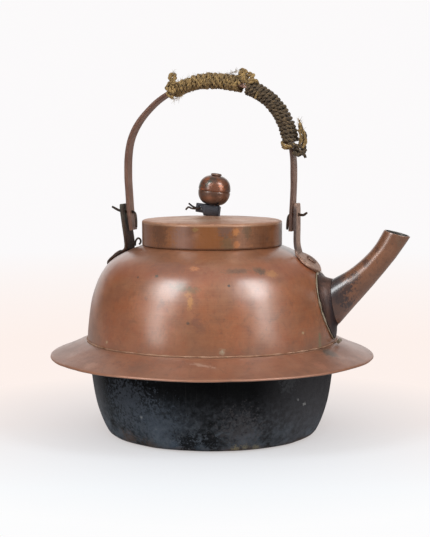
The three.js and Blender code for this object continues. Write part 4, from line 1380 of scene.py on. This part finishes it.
def bracket_foot(x):
    """The strip stands on the washer, level with the lid, and its lug is cut a little shorter."""
    return 1.7 if x < -6.4 else float(np.interp(x, [-6.4, -5.4, 10], [1.7, -0.45, 1.25]))


bracket = edgewise_strip("knob_iron_bracket", BRACKET_PLAN, 1.3, bracket_foot, 9.3, bracket_finish)
drill(bracket, (-9.2, -12, 5.4), (-9.2, 4, 5.4), 1.45)
bracket.data.transform(knob_lean)
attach(bracket, "lid")
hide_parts("knob_bracket")

# the twist of wire left in the lug: two tails, one lying on the lid
lug_wire = round_wire("lid_lug_wire", [[-22.6, -3.4, 2.2], [-20.4, -4, 4.6], [-17, -5.6, 4.2],
    [-13, -7.3, 4.4], [-9.4, -6.8, 5.4], [-9.2, -3, 5.4], [-9.2, 0.9, 5.4], [-12.6, 1.4, 4.6],
    [-16.6, -1.2, 5.2], [-21, -2, 7.6]], 0.8, wire_finish, count=130, sides=10)
lug_wire.data.transform(knob_lean)
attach(lug_wire, "lid")
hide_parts("lid_wire")


# ---- handle strap -----------------------------------------------------------------------------
# The bail: one flat strap of copper bent to an uneven arch and hung on the two hinge pins. Its
# edges are eased, hands have worn it brown, and it is darker and redder along the near edge.
STRAP_LINE = [[-73, 174], [-74.2, 182], [-75.4, 190], [-76.5, 205], [-77.3, 222], [-77, 238],
    [-74.6, 252], [-70.4, 262], [-65.3, 270], [-58.3, 278], [-49.5, 286], [-40, 292], [-30, 296.8],
    [-18, 300.8], [-6, 302.8], [6, 303], [18, 301.6], [30, 298.4], [41, 293.8], [51.6, 286.6],
    [60, 277], [66, 265.6], [70.2, 252], [72.2, 238], [72.8, 222], [72.5, 206], [71.7, 190],
    [71.2, 176]]
STRAP_WIDTH = 12.5
STRAP_THICK = 3.0


def path_object(name, points):
    """An object that holds only a path, as joined edges, for a tree to grow along."""
    mesh = bpy.data.meshes.new(name)
    mesh.from_pydata([tuple(Vector(p) * MM) for p in points], [(i, i + 1)
        for i in range(len(points) - 1)], [])
    return put(name, mesh)


def finish_grown(made):
    """Merges doubles of a grown mesh and turns its faces outwards."""
    b = bmesh.new()
    b.from_mesh(made.data)
    bmesh.ops.remove_doubles(b, verts=b.verts, dist=1e-6)
    bmesh.ops.recalc_face_normals(b, faces=b.faces)
    b.to_mesh(made.data)
    b.free()


bent_strap, given, out = start_tree("bent_strap", ["Width", "Thickness", "Eased Edge"])
line = geo(bent_strap, "MeshToCurve", {"Mesh": given["Path"]})
upright = geo(bent_strap, "SetCurveNormal", {"Curve": line, "Normal": (0, 1, 0)}, mode="FREE")
section = geo(bent_strap, "CurvePrimitiveQuadrilateral", {"Width": given["Width"],
    "Height": given["Thickness"]})
eased = geo(bent_strap, "FilletCurve", {"Curve": section, "Count": 4,
    "Radius": given["Eased Edge"]}, mode="POLY")
finely = geo(bent_strap, "ResampleCurve", {"Curve": eased, "Count": 48}, mode="COUNT")
swept = geo(bent_strap, "CurveToMesh", {"Curve": upright, "Profile Curve": finely,
    "Fill Caps": True})
close_tree(bent_strap, given, out, swept)


def strap_copper(tree, place):
    """Brown copper, reddish near edge, and painted dark grey shade on that edge low on the spout
    side.
    """
    aged = clouds(place, 0.014, 181.0)
    fine = clouds(place, 0.005, 185.0)
    xyz = add(tree, "ShaderNodeSeparateXYZ", {0: place})
    colour = wash(rgb(162, 120, 98), (134, 96, 78), aged["Clouds"])
    colour = wash(colour, (160, 122, 104), fine["Clouds"], 0.3)
    colour = wash(colour, (74, 54, 46), fine["Blotches"], 0.5)
    bare = group(mark, Place=place, Centre=(0.0298, -0.005, 0.2985), Width=0.006, Ragged=0.2)
    near = fade(xyz.outputs[1], -0.0056, -0.0061)
    colour = wash(colour, (96, 62, 52), near, 0.55)
    # painted shade: the near edge of the spout-side leg goes dark grey below the binding, by the
    # ear
    spout_leg = times(fade(xyz, 0.0, 0.05), fade(xyz.outputs[2], 0.262, 0.25))
    colour = wash(colour, (50, 48, 52), spout_leg, near, 0.65)
    outside = times(spout_leg, fade(fine["Grain"], 0.4, 0.6))
    colour = wash(colour, (176, 128, 96), outside, 0.25)
    colour = wash(colour, (222, 176, 156), bare["Mark"], 0.9)
    wear_and_sheen = add(tree, "ShaderNodeNewGeometry").outputs["Pointiness"]
    colour = wash(colour, (180, 138, 116), fade(wear_and_sheen, 0.52, 0.57), 0.4)
    rough = plus(fade(aged["Clouds"], 0, 1, 0.36, 0.46), times(fine["Grain"], 0.12))
    height = plus(fine["Grain"], times(fine["Blotches"], 0.5))
    return colour, rough, height, 0.00035


strap_finish = finish("strap_brown_copper", strap_copper, Metallic=0.5, Coat_Weight=0.4,
    Coat_Roughness=0.35)
strap_line = smooth_line(STRAP_LINE, 260)
strap = path_object("handle_bent_strap", [(x, 0, z) for x, z in strap_line])
run_nodes(strap, bent_strap, {"Width": STRAP_WIDTH * MM, "Thickness": STRAP_THICK * MM,
    "Eased Edge": 0.7 * MM, "Finish": strap_finish})
finish_grown(strap)
for v in strap.data.vertices:
    v.co += noise.noise_vector(v.co * 60) * 0.0003 * min(max((v.co.z - 0.2) / 0.02, 0), 1)
drill(strap, (50, 0, PIN_Z), (95, 0, PIN_Z), PIN_HOLE)
drill(strap, (-95, 0, PIN_Z), (-50, 0, PIN_Z), PIN_HOLE)
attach(strap, "handle")
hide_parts("handle_strap")


# ---- cord bindings ----------------------------------------------------------------------------
# The grip: two lengths of two-ply hemp twine wound tight round the strap in layers, one golden
# and rough over the crown, one black with handling on the spout side, so that it doesn't burn.
two_ply, given, out = start_tree("two_ply_twine", ["Twine Radius", "Twists Per Metre", "Seed"],
    "Line", "Twine", painted=False)
plies = geo(two_ply, "DuplicateElements", {"Geometry": given["Line"], "Amount": 2},
    domain="SPLINE")
way = geo(two_ply, "InputTangent")
side = geo(two_ply, "InputNormal")
third = vectors("CROSS_PRODUCT", way, side)
run = geo(two_ply, "SplineParameter")
twist = times(times(run.outputs["Length"], given["Twists Per Metre"]), 2 * math.pi)
opposite = times(plies.outputs["Duplicate Index"], math.pi)
angle = plus(twist, opposite)
cosine = maths("COSINE", angle)
sine = maths("SINE", angle)
apart = times(given["Twine Radius"], 0.46)
part_a = scaled(side, times(cosine, apart))
part_b = scaled(third, times(sine, apart))
shift = vectors("ADD", part_a, part_b)
laid = geo(two_ply, "SetPosition", {"Geometry": plies, "Offset": shift})
thick_noise = add(two_ply, "ShaderNodeTexNoise", {"W": plus(times(run.outputs["Length"], 420.0),
    given["Seed"]), "Scale": 1.0, "Detail": 2.0}, noise_dimensions="1D")
ply_radius = times(given["Twine Radius"], fade(thick_noise, 0.2, 0.8, 0.44, 0.72))
ring = geo(two_ply, "CurvePrimitiveCircle", {"Resolution": 7, "Radius": 1.0})
round_ring = geo(two_ply, "SplineParameter")
marked_ring = geo(two_ply, "StoreNamedAttribute", {"Geometry": ring, "Name": "around",
    "Value": round_ring.outputs["Factor"]}, data_type="FLOAT", domain="POINT")
marked_line = geo(two_ply, "StoreNamedAttribute", {"Geometry": laid, "Name": "run",
    "Value": run.outputs["Length"]}, data_type="FLOAT", domain="POINT")
ply_number = geo(two_ply, "StoreNamedAttribute", {"Geometry": marked_line, "Name": "ply",
    "Value": plies.outputs["Duplicate Index"]}, data_type="FLOAT", domain="POINT")
spun = geo(two_ply, "CurveToMesh", {"Curve": ply_number, "Profile Curve": marked_ring,
    "Scale": ply_radius, "Fill Caps": True})
two_ply.links.new(spun.outputs[0], out[0])


def twine_along(tree, given, line):
    """The two-ply twine laid along a line, with the tree's own numbers."""
    return geo(tree, "Group", {"Line": line, **{label: given[label] for label in ("Twine Radius",
        "Twists Per Metre", "Seed")}}, node_tree=two_ply)


winding, given, out = start_tree("cord_winding", ["Turns", "Half Width", "Half Thickness",
    "Twine Radius", "Twists Per Metre", "Uneven", "Slant", "Seed"])
line = geo(winding, "MeshToCurve", {"Mesh": given["Path"]})
point_count = add(winding, "FunctionNodeFloatToInt", {0: times(given["Turns"], 44.0)})
finely = geo(winding, "ResampleCurve", {"Curve": line, "Count": point_count}, mode="COUNT")
way = geo(winding, "InputTangent")
outward = vectors("CROSS_PRODUCT", way, (0, 1, 0))
run = geo(winding, "SplineParameter")
turn = times(times(run.outputs["Factor"], given["Turns"]), 2 * math.pi)
cosine = maths("COSINE", turn)
sine = maths("SINE", turn)


def squared(value):
    """Pushes a wave outwards, so that the turns lie on a strap and not on a round bar."""
    size = maths("ABSOLUTE", value)
    grown = maths("POWER", size, 0.8)
    sign = maths("SIGN", value)
    return times(grown, sign)


turn_noise = add(winding, "ShaderNodeTexNoise", {"W": plus(times(turn, 0.22), given["Seed"]),
    "Scale": 1.0, "Detail": 2.0}, noise_dimensions="1D")
swell = plus(times(plus(turn_noise, -0.5), given["Uneven"]), 1.0)
wide = times(times(squared(cosine.outputs[0]), given["Half Width"]), swell)
deep = times(times(squared(sine.outputs[0]), given["Half Thickness"]), swell)
slip_noise = add(winding, "ShaderNodeTexNoise", {"W": plus(times(turn, 0.5),
    plus(given["Seed"], 40.0)), "Scale": 1.0, "Detail": 1.0}, noise_dimensions="1D")
slip = times(times(plus(slip_noise, -0.5), given["Uneven"]), 0.012)
slip = plus(slip, times(sine, given["Slant"]))
wide_part = together(0, wide)
deep_part = scaled(outward, deep)
along_part = scaled(way, slip)
two_parts = vectors("ADD", wide_part, deep_part)
all_parts = vectors("ADD", two_parts, along_part)
wound = geo(winding, "SetPosition", {"Geometry": finely, "Offset": all_parts})
close_tree(winding, given, out, twine_along(winding, given, wound))


def hemp(light, middle, dark, black, tip):
    """Twine of spun hemp: fibres run along each ply, with patches of dark dirt over it."""
    def lay(tree, place):
        run = add(tree, "ShaderNodeAttribute", attribute_name="run").outputs["Fac"]
        around = add(tree, "ShaderNodeAttribute", attribute_name="around").outputs["Fac"]
        ply = add(tree, "ShaderNodeAttribute", attribute_name="ply").outputs["Fac"]
        fibre_place = together(times(run, 260.0), times(around, 9.0), times(ply, 7.3))
        fibres = add(tree, "ShaderNodeTexNoise", {"Vector": fibre_place, "Scale": 1.0,
            "Detail": 4.0, "Roughness": 0.7})
        aged = clouds(place, 0.012, 191.0)
        fine = clouds(place, 0.0035, 195.0)
        colour = layer(fade(fibres, 0.34, 0.64), middle, light)
        colour = layer(times(fine["Clouds"], 0.6), colour, dark)
        colour = layer(times(fine["Blotches"], 0.85), colour, black)
        colour = layer(times(aged["Blotches"], 0.6), colour, black)
        colour = layer(times(fine["Specks"], 0.8), colour, tip)
        rough = fade(fibres, 0.3, 0.7, 0.72, 0.92)
        return colour, rough, fibres.outputs[0], 0.0005
    return lay


golden_hemp = finish("golden_hemp", hemp(rgb(206, 170, 108), rgb(138, 108, 68), rgb(66, 52, 36),
    rgb(28, 22, 18), rgb(230, 198, 134)), Specular_IOR_Level=0.25, Sheen_Weight=0.25,
    Sheen_Roughness=0.5)
dark_hemp = finish("blackened_hemp", hemp(rgb(140, 114, 80), rgb(74, 64, 54), rgb(38, 35, 36),
    rgb(16, 16, 18), rgb(196, 158, 100)), Specular_IOR_Level=0.3, Sheen_Weight=0.15,
    Sheen_Roughness=0.5)


def part_of_strap(first, last, count=90):
    """Path along the strap between two shares of its length."""
    rows = smooth_line(STRAP_LINE, 400)
    picked = rows[int(first * 399): int(last * 399) + 1]
    return [(x, 0, z) for x, z in smooth_line(picked[:: max(1, len(picked) // 24)], count)]


def strap_share(x, z):
    """Where along the strap's length the point nearest to X and Z lies, from 0 to 1."""
    rows = smooth_line(STRAP_LINE, 400)
    return float(np.argmin(np.hypot(rows[:, 0] - x, rows[:, 1] - z))) / 399


def wind(name, first, last, finish_used, **values):
    made = path_object(name, part_of_strap(first, last))
    run_nodes(made, winding, {**{k.replace("_", " "): v for k, v in values.items()},
        "Finish": finish_used})
    return made


pale_start, pale_end = strap_share(-35.6, 294.1), strap_share(26.4, 299.7)
dark_start, dark_end = strap_share(33.0, 297.3), strap_share(70.6, 250.2)


def joined(name, parts):
    """Several grown meshes as one piece."""
    b = bmesh.new()
    for part in parts:
        b.from_mesh(part.data)
    mesh = bpy.data.meshes.new(name)
    b.to_mesh(mesh)
    b.free()
    mesh.materials.append(parts[0].data.materials[0])
    for part in parts:
        bpy.data.objects.remove(part)
    return put(name, mesh)


pale_binding = joined("pale_twine_binding", [wind("pale_inner", pale_start, pale_end, golden_hemp,
    Turns=26.0, Half_Width=7.2 * MM, Half_Thickness=2.7 * MM, Twine_Radius=1.2 * MM,
    Twists_Per_Metre=220.0, Uneven=0.05, Slant=0.0, Seed=3.0), wind("pale_outer", pale_start,
    pale_end, golden_hemp, Turns=20.0, Half_Width=8.3 * MM, Half_Thickness=4.5 * MM,
    Twine_Radius=1.66 * MM, Twists_Per_Metre=150.0, Uneven=0.3, Slant=0.0012, Seed=11.0),
    wind("pale_over", pale_start + 0.07, pale_end, golden_hemp, Turns=8.5, Half_Width=8.9 * MM,
    Half_Thickness=5.9 * MM, Twine_Radius=1.35 * MM, Twists_Per_Metre=170.0, Uneven=0.34,
    Slant=-0.004, Seed=23.0)])
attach(pale_binding, "handle")
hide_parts("binding_pale")

dark_binding = joined("dark_twine_binding", [wind("dark_inner", dark_start, dark_end, dark_hemp,
    Turns=25.0, Half_Width=7.3 * MM, Half_Thickness=3.0 * MM, Twine_Radius=1.2 * MM,
    Twists_Per_Metre=220.0, Uneven=0.05, Slant=0.0, Seed=5.0), wind("dark_outer", dark_start,
    dark_end, dark_hemp, Turns=18.0, Half_Width=8.6 * MM, Half_Thickness=5.1 * MM,
    Twine_Radius=1.85 * MM, Twists_Per_Metre=130.0, Uneven=0.18, Slant=0.0014, Seed=17.0)])
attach(dark_binding, "handle")
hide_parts("binding_dark")


# ---- knots and frayed ends --------------------------------------------------------------------
# Where a length of twine ends it is tucked, looped back and knotted, and its fibres fray out.
loose_twine, given, out = start_tree("loose_twine", ["Twine Radius", "Twists Per Metre", "Seed"])
line = geo(loose_twine, "MeshToCurve", {"Mesh": given["Path"]})
close_tree(loose_twine, given, out, twine_along(loose_twine, given, line))


def tie(name, points, finish_used, radius=1.25, seed=1.0, twists=250.0):
    """A length of twine along points in millimetres."""
    rows = smooth_line(points, max(40, int(len(points) * 12)))
    made = path_object(name, rows)
    return run_nodes(made, loose_twine, {"Twine Radius": radius * MM, "Twists Per Metre": twists,
        "Seed": seed, "Finish": finish_used})


frayed, given, out = start_tree("frayed_fibres", ["Count", "Fibre Length", "Spread",
    "Fibre Radius", "Seed"])
line = geo(frayed, "MeshToCurve", {"Mesh": given["Path"]})
roots = geo(frayed, "ResampleCurve", {"Curve": line, "Count": add(frayed, "FunctionNodeFloatToInt",
    {0: given["Count"]})}, mode="COUNT")
way = geo(frayed, "InputTangent")
seed_number = add(frayed, "FunctionNodeFloatToInt", {0: given["Seed"]})
lean = add(frayed, "FunctionNodeRandomValue", {0: (-1, -1, -1), 1: (1, 1, 1), "Seed": seed_number},
    data_type="FLOAT_VECTOR")
leaning = scaled(lean, given["Spread"])
aimed = vectors("ADD", way, leaning)
facing = add(frayed, "FunctionNodeAlignRotationToVector", {"Vector": aimed}, axis="Z")
roll = add(frayed, "FunctionNodeRandomValue", {2: 0.0, 3: 6.283, "Seed": seed_number},
    data_type="FLOAT")
roll_turn = together(0, 0, roll.outputs[1])
rolled = add(frayed, "FunctionNodeRotateRotation", {0: facing,
    1: add(frayed, "FunctionNodeEulerToRotation", {0: roll_turn})}, rotation_space="LOCAL")
fibre_end = together(times(given["Fibre Length"], 0.45), 0, given["Fibre Length"])
fibre_bow = together(times(given["Fibre Length"], -0.12), 0, times(given["Fibre Length"], 0.55))
fibre = geo(frayed, "CurveQuadraticBezier", {"Resolution": 6, "Start": (0, 0, 0),
    "Middle": fibre_bow, "End": fibre_end})
fibre_run = geo(frayed, "SplineParameter")
thinned = fade(fibre_run.outputs["Factor"], 0.2, 1.0, 1.0, 0.3)
hair_ring = geo(frayed, "CurvePrimitiveCircle", {"Resolution": 3, "Radius": 1.0})
hair = geo(frayed, "CurveToMesh", {"Curve": fibre, "Profile Curve": hair_ring,
    "Scale": times(given["Fibre Radius"], thinned), "Fill Caps": True})
length_share = add(frayed, "FunctionNodeRandomValue", {2: 0.45, 3: 1.0, "Seed": seed_number},
    data_type="FLOAT")
hairs = geo(frayed, "InstanceOnPoints", {"Points": roots, "Instance": hair, "Rotation": rolled,
    "Scale": length_share.outputs[1]})
close_tree(frayed, given, out, hairs)


def fray(name, points, finish_used, count, length, spread, seed, radius=0.16):
    """Loose fibres that stand off a path in millimetres."""
    made = path_object(name, smooth_line(points, 30))
    return run_nodes(made, frayed, {"Count": float(count), "Fibre Length": length * MM,
        "Spread": spread, "Fibre Radius": radius * MM, "Seed": float(seed), "Finish": finish_used})


def binding_line(first, last, out_by, y):
    """A path along the outside of a binding, off the strap's middle line."""
    rows = smooth_line(STRAP_LINE, 400)
    along = directions(rows)
    picked = range(int(first * 399), int(last * 399), 6)
    return [(rows[i][0] - along[i][1] * out_by, y, rows[i][1] + along[i][0] * out_by)
        for i in picked]


far_knot = joined("far_end_loops", [tie("far_loop_a", [[-29, -7.4, 299], [-32.4, -7, 303.2],
    [-36.2, -5.4, 306.2], [-36, -3.4, 308.6], [-33.4, -2.8, 308.8], [-32, -4, 306.4],
    [-33.4, -6, 303.2], [-37, -6.6, 300.8], [-38.4, -5, 297.6]], golden_hemp, 1.9, 2.0, 140.0),
    tie("far_loop_b", [[-31.6, -9.2, 292.4], [-35.4, -9.2, 295.6], [-38.4, -7.4, 297.2],
    [-38.8, -2.4, 297.8], [-36.4, 2, 298.8], [-34, 5, 297]], golden_hemp, 1.9, 4.0, 140.0),
    tie("far_loop_c", [[-32, -9.4, 289], [-35.6, -9, 290.6], [-38, -6.2, 293.2], [-37.6, 1, 295]],
    golden_hemp, 1.5, 6.0, 150.0), tie("far_loop_d", [[-26, -8.4, 300.4], [-29.4, -8.6, 301.6],
    [-33, -8, 300.6], [-35.2, -7.4, 297.4], [-34, -8.6, 293.4]], golden_hemp, 1.4, 9.0, 150.0),
    fray("far_fray_top", [[-36, -3.8, 308.2], [-34, -3, 311], [-32, -3.4, 308.6]], golden_hemp, 22,
    4.2, 1.4, 7), fray("far_fray_low", [[-22, -6, 293.4], [-26, -7, 290.8], [-32, -7.6, 287.6]],
    golden_hemp, 46, 6.0, 1.2, 8), fray("pale_fuzz", binding_line(pale_start, pale_end, 6.4, -2),
    golden_hemp, 150, 3.4, 1.9, 9, 0.11), fray("pale_fuzz_low", binding_line(pale_start, pale_end,
    -5.4, -5), golden_hemp, 90, 3.0, 1.9, 10, 0.11)])
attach(far_knot, "handle")
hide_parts("knot_far_end")

middle_knot = joined("middle_loops", [tie("middle_loop_a", [[24, -7, 303.6], [27.2, -6.4, 307.4],
    [27.4, -5, 310.6], [29.8, -4, 311.8], [31.4, -4.4, 309.6], [30.2, -6, 307.2],
    [32.6, -7.6, 304.2]], golden_hemp, 2.1, 12.0, 130.0), tie("middle_loop_b",
    [[27.4, -7, 306.4], [30.8, -8, 302.6], [34.6, -7.6, 302], [37.4, -6, 304.6],
    [37.6, -4.4, 307.6], [35, -4, 308.2], [32.8, -5.6, 305.8]], golden_hemp, 2.1, 14.0, 130.0),
    tie("middle_loop_c", [[33, -7, 299.6], [36.4, -8.6, 301.2], [39.6, -7.4, 303],
    [41.4, -4.4, 301.2], [41, -1, 298.8]], golden_hemp, 1.9, 16.0, 130.0),
    tie("middle_loop_d", [[18, -8, 299], [21, -7.8, 303.6], [24.6, -6.6, 306.6],
    [27.8, -5.4, 305.4], [28.6, -5.2, 301.8]], golden_hemp, 1.4, 17.0, 150.0),
    tie("middle_bridge_back", [[22, 4, 300], [27, 5, 303], [32, 5.4, 302.4], [37, 5, 299.4]],
    dark_hemp, 1.5, 19.0, 150.0), fray("middle_fray", [[15.6, -5, 307.4], [19.6, -4.4, 309.8],
    [24, -4, 311.4]], golden_hemp, 50, 5.0, 1.5, 19)])
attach(middle_knot, "handle")
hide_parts("knot_middle")

spout_knot = joined("spout_end_knot", [tie("spout_knot_a", [[70, -9, 250], [75, -8.4, 248.6],
    [79.6, -6, 247.4], [82, -2, 244.4], [79.4, 1, 241.6], [75.6, 0, 242.4], [75.4, -4.6, 245.6],
    [79.4, -5.4, 248.4]], dark_hemp, 1.9, 21.0, 130.0), tie("spout_knot_b",
    [[74, -6.4, 242.8], [77.6, -7.4, 240.8], [81.4, -6, 241.6], [83, -3, 245.6],
    [80.4, -0.6, 249.4]], dark_hemp, 1.9, 23.0, 130.0), tie("spout_knot_c",
    [[75, -4.4, 246.6], [78.6, -7.6, 245.2], [81.4, -7, 242.6], [83.4, -5.6, 240.2],
    [84, -5, 238.2]], dark_hemp, 1.3, 24.0, 130.0), tie("spout_tail", [[80, -4.6, 247],
    [83.2, -4, 251.6], [83.4, -3.4, 256.4], [81.2, -3.4, 261], [79, -4, 266]], dark_hemp, 1.6,
    25.0, 60.0)])
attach(spout_knot, "handle")
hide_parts("knot_spout_end")

# the tail's fibres and the last turn, still golden, and fuzz along the dark binding
tan_ends = joined("tan_frayed_ends", [tie("last_turn", [[74.6, -8, 249], [70.6, -10.6, 247.6],
    [66.2, -9.6, 248.8], [64.2, -5.4, 250.6], [64.4, 0, 250.8], [66, 5, 249.8]], golden_hemp, 1.6,
    31.0, 130.0), tie("last_turn_low", [[64.8, -7.6, 247.2], [68.4, -9.2, 246], [72.4, -9, 247.2],
    [76, -7, 249.6]], golden_hemp, 1.4, 33.0, 130.0), tie("tan_tail", [[81.6, -5.6, 246.6],
    [83.8, -5, 250.6], [83.6, -4.4, 255], [81.2, -4.2, 260.6], [78.4, -4.4, 267]], golden_hemp,
    1.5, 35.0, 50.0), tie("tan_tail_inner", [[78, -6, 248], [80, -6, 252], [80, -5.6, 256],
    [78.2, -5.2, 262]], golden_hemp, 1.5, 36.0, 50.0), tie("tan_tail_middle",
    [[80, -4, 247], [82, -4, 251], [81.8, -3.6, 256], [79.8, -3.4, 261], [77.6, -3.6, 265]],
    golden_hemp, 1.3, 40.0, 50.0), tie("single_turn", [[41, -9.8, 287.6], [42.6, -10.8, 290.6],
    [44, -10.4, 293.6]], golden_hemp, 0.9, 37.0), fray("tail_fray", [[82.6, -4, 257],
    [80.6, -4, 262], [78.6, -4, 268]], golden_hemp, 70, 6.0, 0.35, 38, 0.22),
    fray("dark_fuzz", binding_line(dark_start, dark_end, 6.6, -3), golden_hemp, 80, 2.6, 1.9, 39,
    0.09)])
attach(tan_ends, "handle")
